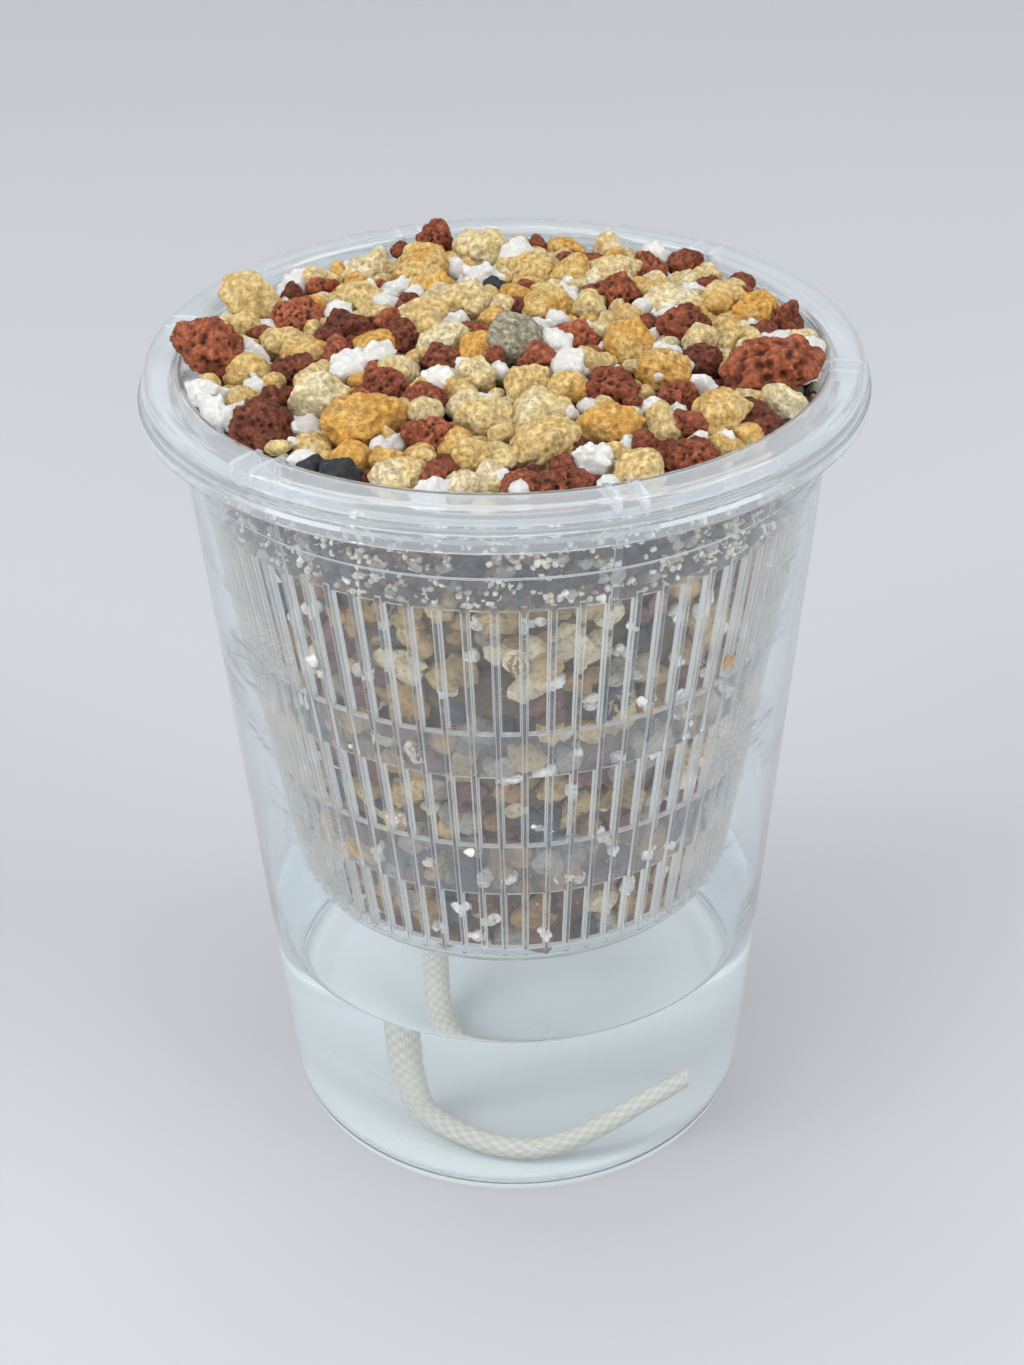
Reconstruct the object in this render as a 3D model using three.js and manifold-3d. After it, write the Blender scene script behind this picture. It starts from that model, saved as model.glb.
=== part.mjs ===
// Self-watering pot. A clear cup holds the water, a slotted net pot hangs in its mouth by a lip, a rope
// wick lifts water into the gravel mix, and loose stones dress the top.
// Millimetres, +Z up, origin at the middle of the cup's foot. Bearings turn from the front (-Y) towards +X.
import * as THREE from "three";
import { ConvexGeometry } from "three/addons/geometries/ConvexGeometry.js";
import { mergeVertices } from "three/addons/utils/BufferGeometryUtils.js";
import Module from "manifold-3d";

const wasm = await Module();
wasm.setup();

// Fits
const GAP = 0.3; // between pieces that rest on or in each other
const MOUTH_CLEARANCE = 0.6; // between the net pot's wall and the cup's mouth

// Reservoir cup
const CUP_HEIGHT = 145;
const CUP_RIM_RADIUS = 58.7;
const CUP_MOUTH_RADIUS = 53.6;
const CUP_FOOT_RADIUS = 43.1;
const CUP_WALL = 0.9;
const CUP_FLOOR = 1.2;
const CUP_FOOT_FILLET = 3;
const CUP_FOOT_RING = 4; // width of the flat ring that the cup stands on
const CUP_FOOT_RECESS = 1;
const CUP_STEP_DROP = 11; // from the rim down to the stacking step
const CUP_STEP = 0.35;
const CUP_SKIRT_DROP = 3.4;
const CUP_GROOVE_DROP = 1.3;
const CUP_GROOVE = 0.5;
const CUP_SIDES = 44;

// Water
const AIR_GAP = 13.2; // from the water's surface up to the net pot's floor
const WATER_SIDES = 36;

// Net pot
const LIP_RADIUS = 57.4;
const LIP_HEIGHT = 2.9;
const LIP_WALL = 1;
const LIP_ROUND = 1.4;
const POT_DEPTH = 96.7; // from the lip's top to the underside of the floor
const POT_FLOOR_RADIUS = 38.8;
const POT_WALL = 0.9;
const POT_FLOOR = 1.2;
const POT_FILLET = 1.5;
const SLOT_COUNT = 72;
const SLOT_START = 21; // from the lip's top to the upper slots, which take the height left by the rest
const UPPER_RING = 9;
const MIDDLE_SLOT = 15;
const LOWER_RING = 11;
const LOWER_SLOT = 13;
const SLOT_FOOT = 3.7; // from the lower slots to the underside of the floor
const WEB_WIDTH = 1.25; // wall left standing between two slots
const RIB_WIDTH = 0.8;
const RIB_PROUD = 0.5;
const RIB_OVERRUN = 1.2; // past the first and last slots
const DRAIN_COUNT = 18;
const DRAIN_WIDTH = 2.2;
const DRAIN_INNER = 21;
const DRAIN_OUTER = 33;

// Grip stations of the lip: a notch between two ribs, with a gusset under the lip beside each rib
const STATION_COUNT = 6;
const STATION_BEARING = 18;
const NOTCH_WIDTH = 3;
const NOTCH_DEPTH = 0.6;
const NOTCH_REACH = 1.8;
const STATION_RIB_WIDTH = 1.1;
const STATION_RIB_PROUD = 0.6;
const STATION_RIB_LENGTH = 6;
const STAY_WIDTH = 1.2; // upright rib outside the wall, under each station
const STAY_PROUD = 0.4;
const STAY_TOP_DROP = 7;

// Wick
const WICK_DIAMETER = 5;
const WICK_SIDES = 8;
const WICK_HOLE = [-15.2, -5]; // where it passes the net pot's floor
const WICK_BURIED = 46; // height of the stretch inside the mix
const WICK_BURIED_LEAN = [9, 3]; // how far its top leans from the hole

// Mix and bed of stones
const GRIT_DROP = 21; // from the lip's top to the underside of the fine grit
const COARSE_SPACING = 14; // between neighbouring lumps in a row of the coarse mix
const COARSE_RELIEF = 1.9; // how far the mix lies back between its lumps
const GRIT_SPACING = 11;
const GRIT_RELIEF = 0.8;
const BED_DROP = 6; // from the lip's top to the grit's surface at the wall
const BED_CROWN = 2.6; // how much higher the grit stands in the middle
const STONE_SIZE = 10;
const STONE_LIFT = 0.36; // share of a stone's height that its middle stands above the grit
const STONE_PERCH = 1.2; // how far a perched stone leans out over the lip for each millimetre above it
const STONE_POINTS = 18;
const STONE_LUMP = 0.3;

// Loose stones, each as bearing, share of the bed's radius, length, width and height in shares of the stone
// size, turn of its length, and for a stone perched on the lip's edge how much higher it stands
const STONES = {
  pumice: [
    [-114, 0.94, 1.3, 1.15, 1.15, 0, 0.06],
    [-97, 0.72, 1, 0.75, 0.7, 10],
    [-67, 0.88, 0.85, 0.75, 0.7, 40],
    [-55, 0.69, 1.1, 1.05, 1, 0],
    [-37, 0.69, 1.75, 1.05, 1, 25],
    [-20, 0.9, 0.95, 0.75, 0.75, 10],
    [-6, 0.54, 1.05, 0.8, 0.75, 0],
    [15, 0.31, 1.1, 0.75, 0.75, 45],
    [9, 0.73, 1.1, 1, 1, 0],
    [28, 0.66, 1.3, 0.85, 0.8, 0],
    [24, 0.92, 1, 0.8, 0.8, 30],
    [50, 0.83, 1.1, 1, 0.95, 20],
    [63, 0.55, 1, 0.95, 0.95, 0],
    [80, 0.4, 1.05, 1.05, 1.05, 0],
    [-86, 0.18, 1.05, 0.85, 0.85, 0],
    [-22, 0.26, 0.8, 0.8, 0.75, 0],
    [-157, 0.32, 1.1, 1, 0.95, 0],
    [153, 0.33, 1.1, 0.85, 0.8, 0],
    [149, 0.76, 1.15, 0.95, 0.8, 30],
    [119, 0.65, 1.45, 0.85, 0.8, -20],
    [108, 0.9, 1.1, 0.95, 0.85, 0],
    [88, 0.8, 0.85, 0.75, 0.7, -15],
    [-175, 0.86, 1.4, 1, 1, -10],
    [-157, 0.7, 1.1, 1.1, 1.05, 0],
    [-148, 0.88, 1.15, 0.85, 0.75, 0],
    [-131, 0.65, 1.1, 0.85, 0.75, 10],
    [171, 0.66, 0.95, 0.8, 0.75, 15],
    [166, 0.93, 0.9, 0.75, 0.7, -25],
  ],
  lava: [
    [-86, 0.95, 1.35, 1.1, 1.1, 0, 0.2],
    [-112, 0.73, 1.1, 0.95, 0.8, 15],
    [-107, 0.53, 1, 0.8, 0.75, 0],
    [-78, 0.68, 0.95, 0.7, 0.7, 0],
    [-52, 0.92, 1.2, 1.05, 1.05, 20],
    [-49, 0.47, 1.15, 0.75, 0.7, 5],
    [-19, 0.66, 0.85, 0.7, 0.7, 0],
    [42, 0.48, 1.15, 0.95, 0.85, -15],
    [52, 0.67, 0.8, 0.75, 0.75, 0],
    [94, 0.22, 1.15, 0.75, 0.75, 0],
    [-98, 0.34, 0.75, 0.95, 0.8, 0],
    [138, 0.57, 1.2, 0.85, 0.8, 20],
    [99, 0.59, 1, 0.95, 0.95, 0],
    [79, 0.64, 0.8, 0.8, 0.75, 0],
    [73, 0.9, 1.75, 1.2, 1.2, 10, 0.12],
    [10, 0.93, 1.1, 0.7, 0.7, 0],
    [36, 0.93, 1, 0.75, 0.7, -15],
    [-166, 0.95, 0.85, 0.8, 0.85, 45, 0.25],
  ],
  perlite: [
    [36, 0.34, 0.8, 0.85, 0.95, 0],
    [-67, 0.97, 0.75, 0.7, 0.7, 0],
    [18, 0.83, 0.8, 0.7, 0.7, -30],
    [-172, 0.58, 1, 0.7, 0.65, 0],
    [-35, 0.35, 0.85, 0.7, 0.65, 0],
  ],
  charcoal: [[-31, 0.94, 0.8, 0.65, 0.6, 0]],
  granite: [[39, 0.07, 1.3, 1.15, 1.1, 0]],
};

const CUP_ARC_STEPS = 2;
const POT_ARC_STEPS = 2;
const BED_ARC_STEPS = 2;
const MERGE = 1e-4;
const FLAT = 0.002; // faces closer than this to one plane are one face
const SINK = 0.3; // how far a rib or gusset is let into the wall it stands on
const PIERCE = 3; // height of a floor cutter, as a share of the floor it goes through
const DRAW_IN = 0.97; // share of its reach that a stone's point keeps at each try
const UP = new THREE.Vector3(0, 0, 1);

// Levels and radii that the sizes above fix
const cupFloorTop = CUP_FOOT_RECESS + CUP_FLOOR;
const cupStepZ = CUP_HEIGHT - CUP_STEP_DROP;
const lipSeat = CUP_HEIGHT + GAP;
const lipTop = lipSeat + LIP_HEIGHT;
const potFloorZ = lipTop - POT_DEPTH;
const potFloorTop = potFloorZ + POT_FLOOR;
const waterLevel = potFloorZ - AIR_GAP;
const lowerDrop = POT_DEPTH - SLOT_FOOT - LOWER_SLOT;
const middleDrop = lowerDrop - LOWER_RING - MIDDLE_SLOT;
const slotTiers = [
  { drop: SLOT_START, height: middleDrop - UPPER_RING - SLOT_START },
  { drop: middleDrop, height: MIDDLE_SLOT },
  { drop: lowerDrop, height: LOWER_SLOT },
];
const potMouthRadius = CUP_MOUTH_RADIUS - CUP_WALL - MOUTH_CLEARANCE;
const potTaper = (potMouthRadius - POT_FLOOR_RADIUS) / (CUP_HEIGHT - potFloorZ);
const potLean = Math.atan(potTaper);
const gritBottom = lipTop - GRIT_DROP;
const bedEdge = lipTop - BED_DROP;
const wickRadius = WICK_DIAMETER / 2;

const cupRadius = (z) => {
  const below = CUP_FOOT_RADIUS + ((CUP_MOUTH_RADIUS - CUP_STEP - CUP_FOOT_RADIUS) * z) / CUP_HEIGHT;
  return z > cupStepZ ? below + CUP_STEP : below;
};
const potRadius = (z) => POT_FLOOR_RADIUS + potTaper * (z - potFloorZ);
const potInside = (z) => potRadius(z) - POT_WALL;
const bedRadius = potInside(bedEdge) - STATION_RIB_PROUD - GAP;
const bedHeight = (radius) => bedEdge + BED_CROWN * (1 - (radius / bedRadius) ** 2);
const stoneLimit = (z) => potInside(z) - STATION_RIB_PROUD - GAP;
const perchLimit = (z) => potInside(lipTop) - GAP + STONE_PERCH * (z - lipTop - GAP);

// A closed geometry as a solid that can be joined and cut.
function solid(geometry) {
  const bare = new THREE.BufferGeometry().setAttribute("position", geometry.getAttribute("position"));
  bare.setIndex(geometry.index);
  const merged = mergeVertices(bare, MERGE);
  const corners = merged.index.array;
  const faces = [];
  for (let i = 0; i < corners.length; i += 3) {
    const [a, b, c] = corners.slice(i, i + 3);
    if (a !== b && b !== c && c !== a) faces.push([a, b, c]);
  }
  const build = (triangles) =>
    new wasm.Manifold(
      new wasm.Mesh({
        numProp: 3,
        vertProperties: merged.attributes.position.array,
        triVerts: new Uint32Array(triangles.flat()),
      }),
    );
  const made = build(faces);
  return made.volume() < 0 ? build(faces.map(([a, b, c]) => [a, c, b])) : made;
}

const joined = (body, geometries) => geometries.reduce((sum, geometry) => sum.add(solid(geometry)), body);
const cut = (body, geometries) => geometries.reduce((rest, geometry) => rest.subtract(solid(geometry)), body);

// The largest body of a solid, without the crumbs that a cut may leave.
function largest(body) {
  return body.decompose().reduce((most, one) => (one.volume() > most.volume() ? one : most));
}

// A named mesh of a finished solid.
function piece(name, body, material) {
  const made = body.getMesh();
  const geometry = new THREE.BufferGeometry();
  geometry.setAttribute("position", new THREE.BufferAttribute(made.vertProperties, 3));
  geometry.setIndex(new THREE.BufferAttribute(made.triVerts, 1));
  geometry.computeVertexNormals();
  const mesh = new THREE.Mesh(geometry, material);
  mesh.name = name;
  return mesh;
}

const revolved = (outline, sides, arcSteps) =>
  solid(new THREE.LatheGeometry(outline.getPoints(arcSteps), sides).rotateX(Math.PI / 2));

// Heights that divide a wall into rows half a spacing apart, from its bottom to its top.
function wallRows(bottom, top, spacing) {
  const count = Math.round((2 * (top - bottom)) / spacing);
  return Array.from({ length: count + 1 }, (_, i) => bottom + ((top - bottom) * i) / count);
}

// A turned body whose wall stands out in staggered lumps: between the first and the last row, every other
// point is drawn in by the relief.
function lumpy(outline, rows, spacing, relief, arcSteps) {
  const points = outline.getPoints(arcSteps);
  const bottom = rows[0];
  const top = rows[rows.length - 1];
  const sides = 2 * Math.round((2 * Math.PI * potInside((bottom + top) / 2)) / spacing);
  const turned = new THREE.LatheGeometry(points, sides);
  const place = turned.getAttribute("position");
  for (let i = 0; i < place.count; i++) {
    const row = i % points.length;
    const column = Math.floor(i / points.length);
    const { x: radius, y: height } = points[row];
    if (height <= bottom || height >= top || (row + column) % 2) continue;
    const share = 1 - relief / radius;
    place.setX(i, place.getX(i) * share);
    place.setZ(i, place.getZ(i) * share);
  }
  return solid(turned.rotateX(Math.PI / 2));
}

// Copies of a geometry made at the front, turned to evenly spaced bearings.
function around(geometry, count, firstBearing) {
  return Array.from({ length: count }, (_, i) => {
    const bearing = firstBearing + (360 * i) / count;
    return geometry.clone().rotateZ(THREE.MathUtils.degToRad(bearing));
  });
}

// A bar at the front that leans with the net pot's wall, from radius `inner` to `outer` at its middle height.
function leaningBar(width, inner, outer, bottom, top, across = 0) {
  const length = (top - bottom) / Math.cos(potLean);
  const bar = new THREE.BoxGeometry(width, outer - inner, length).rotateX(potLean);
  return bar.translate(across, -(inner + outer) / 2, (bottom + top) / 2);
}

function cupOutline() {
  const skirtZ = CUP_HEIGHT - CUP_SKIRT_DROP;
  const skirtInside = CUP_RIM_RADIUS - CUP_WALL;
  const rimUnder = CUP_HEIGHT - CUP_WALL;
  const grooveZ = CUP_HEIGHT - CUP_GROOVE_DROP;
  const beadRadius = CUP_RIM_RADIUS - CUP_GROOVE;
  const stand = CUP_FOOT_RADIUS - CUP_FOOT_FILLET;
  const ringInside = stand - CUP_FOOT_RING;
  const floorCorner = cupRadius(cupFloorTop) - CUP_WALL;
  const filletTop = cupFloorTop + CUP_FOOT_FILLET;
  const outline = new THREE.Path();
  outline.moveTo(0, CUP_FOOT_RECESS);
  outline.lineTo(ringInside - CUP_FOOT_RECESS, CUP_FOOT_RECESS);
  outline.lineTo(ringInside, 0);
  outline.lineTo(stand, 0);
  outline.quadraticCurveTo(CUP_FOOT_RADIUS, 0, cupRadius(CUP_FOOT_FILLET), CUP_FOOT_FILLET);
  outline.lineTo(cupRadius(cupStepZ), cupStepZ);
  outline.lineTo(cupRadius(cupStepZ) + CUP_STEP, cupStepZ + CUP_STEP);
  outline.lineTo(cupRadius(rimUnder), rimUnder);
  outline.lineTo(skirtInside, rimUnder);
  outline.lineTo(skirtInside, skirtZ);
  outline.lineTo(CUP_RIM_RADIUS, skirtZ);
  outline.lineTo(CUP_RIM_RADIUS, grooveZ - CUP_GROOVE);
  outline.lineTo(beadRadius, grooveZ);
  outline.quadraticCurveTo(beadRadius, CUP_HEIGHT, beadRadius - CUP_WALL, CUP_HEIGHT);
  outline.lineTo(cupRadius(CUP_HEIGHT) - CUP_WALL, CUP_HEIGHT);
  outline.lineTo(cupRadius(cupStepZ) + CUP_STEP - CUP_WALL, cupStepZ + CUP_STEP);
  outline.lineTo(cupRadius(cupStepZ) - CUP_WALL, cupStepZ);
  outline.lineTo(cupRadius(filletTop) - CUP_WALL, filletTop);
  outline.quadraticCurveTo(floorCorner, cupFloorTop, floorCorner - CUP_FOOT_FILLET, cupFloorTop);
  outline.lineTo(0, cupFloorTop);
  return outline;
}

function waterOutline() {
  const bottom = cupFloorTop + GAP;
  const filletTop = bottom + CUP_FOOT_FILLET;
  const side = (z) => cupRadius(z) - CUP_WALL - GAP;
  const outline = new THREE.Path();
  outline.moveTo(0, bottom);
  outline.lineTo(side(bottom) - CUP_FOOT_FILLET, bottom);
  outline.quadraticCurveTo(side(bottom), bottom, side(filletTop), filletTop);
  outline.lineTo(side(waterLevel), waterLevel);
  outline.lineTo(0, waterLevel);
  return outline;
}

function potOutline() {
  const lipUnder = lipTop - LIP_WALL;
  const skirtInside = LIP_RADIUS - LIP_WALL;
  const heelTop = potFloorZ + POT_FILLET;
  const filletTop = potFloorTop + POT_FILLET;
  const corner = potInside(potFloorTop);
  const outline = new THREE.Path();
  outline.moveTo(0, potFloorZ);
  outline.lineTo(POT_FLOOR_RADIUS - POT_FILLET, potFloorZ);
  outline.quadraticCurveTo(POT_FLOOR_RADIUS, potFloorZ, potRadius(heelTop), heelTop);
  outline.lineTo(potRadius(lipUnder), lipUnder);
  outline.lineTo(skirtInside, lipUnder);
  outline.lineTo(skirtInside, lipSeat);
  outline.lineTo(LIP_RADIUS, lipSeat);
  outline.lineTo(LIP_RADIUS, lipTop - LIP_ROUND);
  outline.quadraticCurveTo(LIP_RADIUS, lipTop, LIP_RADIUS - LIP_ROUND, lipTop);
  outline.lineTo(potInside(lipTop), lipTop);
  outline.lineTo(potInside(filletTop), filletTop);
  outline.quadraticCurveTo(corner, potFloorTop, corner - POT_FILLET, potFloorTop);
  outline.lineTo(0, potFloorTop);
  return outline;
}

// Every place along the wick, in order from its top: buried in the mix, then hanging into the water, lying on
// the cup's floor and leaning its end on the wall.
function wickRoutes() {
  const [x, y] = WICK_HOLE;
  const [leanX, leanY] = WICK_BURIED_LEAN;
  const lie = cupFloorTop + wickRadius + GAP;
  const drop = potFloorZ - lie;
  const point = (px, py, pz) => new THREE.Vector3(px, py, pz);
  const buried = [
    point(x, y, potFloorZ + GAP / 2),
    point(x, y, potFloorZ + WICK_BURIED / 4),
    point(x + leanX / 2, y + leanY / 2, potFloorZ + WICK_BURIED / 2),
    point(x + leanX, y + leanY, potFloorZ + WICK_BURIED),
  ];
  const tail = [
    point(x, y, potFloorZ - GAP / 2),
    point(x, y, lie + 0.785 * drop),
    point(x, y, lie + 0.48 * drop),
    point(x, y - 0.6, lie + 0.262 * drop),
    point(x + 0.2, y - 3.8, lie + 4.4),
    point(x + 0.9, y - 9, lie + 0.6),
    point(x + 2.7, y - 14.2, lie),
    point(x + 6, y - 19.4, lie),
    point(x + 10.8, y - 23.8, lie),
    point(x + 16.2, y - 26, lie),
    point(x + 21.9, y - 27.2, lie + 1.7),
    point(x + 28.7, y - 27.3, lie + 5.1),
    point(x + 35.7, y - 26.2, lie + 8.7),
    point(x + 40.2, y - 24.6, lie + 9.8),
    point(x + 44.6, y - 22.6, lie + 10.3),
  ];
  return { buried, tail };
}

// A round rope of the given radius along a route, with one ring for each diameter of its length.
function rope(route, radius) {
  const path = new THREE.CatmullRomCurve3(route);
  const section = Array.from({ length: WICK_SIDES }, (_, i) => {
    const angle = (2 * Math.PI * i) / WICK_SIDES;
    return new THREE.Vector2(radius * Math.cos(angle), radius * Math.sin(angle));
  });
  const steps = Math.round(path.getLength() / WICK_DIAMETER);
  const sweep = { steps, extrudePath: path, bevelEnabled: false };
  return new THREE.ExtrudeGeometry(new THREE.Shape(section), sweep);
}

function netPot() {
  const pitch = (z) => (2 * Math.PI * potRadius(z)) / SLOT_COUNT;
  const halfPitch = 180 / SLOT_COUNT;
  const slots = slotTiers.flatMap(({ drop, height }) => {
    const top = lipTop - drop;
    const middle = top - height / 2;
    const inner = potInside(middle) - POT_WALL;
    const outer = potRadius(middle) + POT_WALL;
    const slot = leaningBar(pitch(middle) - WEB_WIDTH, inner, outer, top - height, top);
    return around(slot, SLOT_COUNT, halfPitch);
  });
  const ribTop = lipTop - SLOT_START + RIB_OVERRUN;
  const ribBottom = potFloorZ + SLOT_FOOT - RIB_OVERRUN;
  const ribRadius = potRadius((ribTop + ribBottom) / 2);
  const rib = leaningBar(RIB_WIDTH, ribRadius - SINK, ribRadius + RIB_PROUD, ribBottom, ribTop);
  const pierce = PIERCE * POT_FLOOR;
  const floorMiddle = potFloorZ + POT_FLOOR / 2;
  const drain = new THREE.BoxGeometry(DRAIN_WIDTH, DRAIN_OUTER - DRAIN_INNER, pierce);
  drain.translate(0, -(DRAIN_INNER + DRAIN_OUTER) / 2, floorMiddle);
  const holeRadius = wickRadius + GAP;
  const wickHole = new THREE.CylinderGeometry(holeRadius, holeRadius, pierce, 2 * WICK_SIDES);
  wickHole.rotateX(Math.PI / 2).translate(...WICK_HOLE, floorMiddle);

  const shell = revolved(potOutline(), SLOT_COUNT, POT_ARC_STEPS);
  const ribbed = joined(shell, [...around(rib, SLOT_COUNT, 0), ...stationRibs()]);
  const pierced = cut(ribbed, [...slots, ...around(drain, DRAIN_COUNT, 0), wickHole]);
  const notched = cut(pierced, around(stationNotch(), STATION_COUNT, STATION_BEARING));
  return notched.asOriginal().simplify(FLAT);
}

function stationNotch() {
  const notch = new THREE.BoxGeometry(NOTCH_WIDTH, 2 * NOTCH_REACH, 2 * NOTCH_DEPTH);
  return notch.translate(0, -potInside(lipTop), lipTop);
}

// The ribs inside the wall, the gussets under the lip and the stay outside the wall at each station.
function stationRibs() {
  const apart = (NOTCH_WIDTH + STATION_RIB_WIDTH) / 2;
  const ribBottom = lipTop - LIP_WALL / 2 - STATION_RIB_LENGTH;
  const wallInside = potInside(ribBottom + STATION_RIB_LENGTH / 2);
  const ribInside = wallInside - STATION_RIB_PROUD;
  const lipUnder = lipTop - LIP_WALL;
  const wall = potRadius(lipUnder);
  const skirtInside = LIP_RADIUS - LIP_WALL;
  const gussetDepth = skirtInside - wall + 2 * SINK;
  const gussetHeight = lipUnder - lipSeat;
  const top = lipTop - LIP_WALL / 2;
  const stayTop = lipTop - STAY_TOP_DROP;
  const stayBottom = lipTop - SLOT_START;
  const stayRadius = potRadius((stayTop + stayBottom) / 2);
  const stay = leaningBar(STAY_WIDTH, stayRadius - SINK, stayRadius + STAY_PROUD, stayBottom, stayTop);
  const sides = [-apart, apart].flatMap((across) => {
    const rib = leaningBar(STATION_RIB_WIDTH, ribInside, wallInside + SINK, ribBottom, top, across);
    const gusset = new THREE.BoxGeometry(STATION_RIB_WIDTH, gussetDepth, gussetHeight);
    gusset.translate(across, -(wall + skirtInside) / 2, lipUnder + SINK - gussetHeight / 2);
    return [rib, gusset];
  });
  return [stay, ...sides].flatMap((shape) => around(shape, STATION_COUNT, STATION_BEARING));
}

// A repeatable stream of numbers from 0 to 1.
function stream(seed) {
  let state = seed;
  return () => {
    state = (Math.imul(state, 1664525) + 1013904223) >>> 0;
    return state / 2 ** 32;
  };
}

// Where each stone lies, with its half sizes and its name.
function layStones() {
  return Object.entries(STONES).flatMap(([kind, rows]) =>
    rows.map(([bearing, share, length, width, height, turn, perch = 0], i) => {
      const angle = THREE.MathUtils.degToRad(bearing);
      const half = new THREE.Vector3(length, width, height).multiplyScalar(STONE_SIZE / 2);
      const away = share * bedRadius;
      const z = bedHeight(away) + (STONE_LIFT + perch) * height * STONE_SIZE;
      const middle = new THREE.Vector3(away * Math.sin(angle), -away * Math.cos(angle), z);
      const name = `${kind}_${String(i + 1).padStart(2, "0")}`;
      const limit = perch > 0 ? perchLimit : stoneLimit;
      return { name, kind, half, middle, limit, turn: THREE.MathUtils.degToRad(turn) };
    }),
  );
}

// How far a stone reaches from its middle towards a direction.
function reach({ half, turn }, towards) {
  const local = towards.clone().applyAxisAngle(UP, -turn);
  return local.multiply(half).length();
}

// The points of a lumpy stone, each drawn in until it clears the grit, the wall and the neighbours' shares.
function stonePoints(stone, stones, seed) {
  const random = stream(seed);
  const limits = stones
    .filter((other) => other !== stone)
    .map((other) => {
      const towards = other.middle.clone().sub(stone.middle);
      const apart = towards.length();
      towards.normalize();
      const mine = reach(stone, towards);
      const share = mine / (mine + reach(other, towards.clone().negate()));
      return { towards, most: apart * share - GAP / 2 };
    });
  const isFree = (offset) => {
    const place = stone.middle.clone().add(offset);
    const away = Math.hypot(place.x, place.y);
    const clear = away < stone.limit(place.z) && place.z > bedHeight(away) + GAP;
    return clear && limits.every(({ towards, most }) => offset.dot(towards) < most);
  };
  const golden = Math.PI * (3 - Math.sqrt(5));
  return Array.from({ length: STONE_POINTS }, (_, i) => {
    const rise = 1 - (2 * i + 1) / STONE_POINTS;
    const flat = Math.sqrt(1 - rise * rise);
    const around = golden * i + random();
    const offset = new THREE.Vector3(flat * Math.cos(around), flat * Math.sin(around), rise);
    offset.multiply(stone.half).multiplyScalar(1 + STONE_LUMP * (random() - 0.5));
    offset.applyAxisAngle(UP, stone.turn);
    while (!isFree(offset)) offset.multiplyScalar(DRAW_IN);
    return offset;
  });
}

const stoneSolid = (stone, stones, seed) =>
  solid(new ConvexGeometry(stonePoints(stone, stones, seed).map((offset) => offset.add(stone.middle))));

function fineGrit() {
  const side = (z) => Math.min(potInside(z) - GAP, bedRadius);
  const bottom = gritBottom + GAP;
  const rows = wallRows(bottom, bedEdge, GRIT_SPACING);
  const outline = new THREE.Path();
  outline.moveTo(0, bottom);
  rows.forEach((z) => outline.lineTo(side(z), z));
  outline.quadraticCurveTo(bedRadius / 2, bedEdge + BED_CROWN, 0, bedEdge + BED_CROWN);
  return lumpy(outline, rows, GRIT_SPACING, GRIT_RELIEF, BED_ARC_STEPS);
}

function coarseMix() {
  const side = (z) => potInside(z) - GAP;
  const bottom = potFloorTop + GAP;
  const rows = wallRows(bottom + POT_FILLET, gritBottom, COARSE_SPACING);
  const outline = new THREE.Path();
  outline.moveTo(0, bottom);
  outline.lineTo(side(bottom) - POT_FILLET, bottom);
  outline.quadraticCurveTo(side(bottom), bottom, side(rows[0]), rows[0]);
  rows.slice(1).forEach((z) => outline.lineTo(side(z), z));
  outline.lineTo(0, gritBottom);
  return lumpy(outline, rows, COARSE_SPACING, COARSE_RELIEF, POT_ARC_STEPS);
}

const finish = (color, roughness, opacity = 1) =>
  new THREE.MeshStandardMaterial({ color, roughness, metalness: 0, opacity, transparent: opacity < 1 });

const FINISHES = {
  cup: finish("#d3dde4", 0.15, 0.3),
  pot: finish("#dbe3e8", 0.2, 0.4),
  water: finish("#cfe3f0", 0.02, 0.35),
  rope: finish("#e4e4d7", 0.9),
  coarse: finish("#8d7d64", 0.95),
  grit: finish("#a39c92", 0.95),
  pumice: finish("#cdaf6e", 0.9),
  lava: finish("#7d3728", 0.9),
  perlite: finish("#ebebee", 0.85),
  charcoal: finish("#2d3034", 0.8),
  granite: finish("#968c73", 0.85),
};

const routes = wickRoutes();
const stones = layStones();

const reservoir = new THREE.Group();
reservoir.add(piece("reservoir_cup", revolved(cupOutline(), CUP_SIDES, CUP_ARC_STEPS), FINISHES.cup));
const tailChannel = rope(routes.tail, wickRadius + GAP);
const waterBody = cut(revolved(waterOutline(), WATER_SIDES, CUP_ARC_STEPS), [tailChannel]);
reservoir.add(piece("water", largest(waterBody), FINISHES.water));

const basket = new THREE.Group();
const buriedChannel = rope(routes.buried, wickRadius + GAP);
const coarse = cut(coarseMix(), [buriedChannel]);
basket.add(piece("net_pot", netPot(), FINISHES.pot));
basket.add(piece("coarse_mix", coarse, FINISHES.coarse));
basket.add(piece("fine_grit", fineGrit(), FINISHES.grit));
basket.add(piece("wick_buried", solid(rope(routes.buried, wickRadius)), FINISHES.rope));
basket.add(piece("wick_tail", solid(rope(routes.tail, wickRadius)), FINISHES.rope));
stones.forEach((stone, i) => {
  basket.add(piece(stone.name, stoneSolid(stone, stones, i + 1), FINISHES[stone.kind]));
});

const pot = new THREE.Group();
pot.add(reservoir, basket);

export default pot;
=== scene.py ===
"""The looks of a self-watering pot: clear cup, water, net pot, rope wick, gravel mix and loose stones.

Sizes are written in millimetres and built in metres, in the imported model's frame: +Z up, the viewer at -Y and
the origin under the middle of the cup's foot. Bearings turn from the front towards +X.
"""

import logging
import math
import random
from collections.abc import Callable, Sequence
from dataclasses import dataclass
from enum import Enum

import bmesh
import bpy
from bmesh.types import BMEdge, BMesh, BMFace, BMVert
from bpy.types import ID, Material, Node, NodeSocket, NodeTree, Object, World
from mathutils import Matrix, Vector, noise
from mathutils.bvhtree import BVHTree


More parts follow.
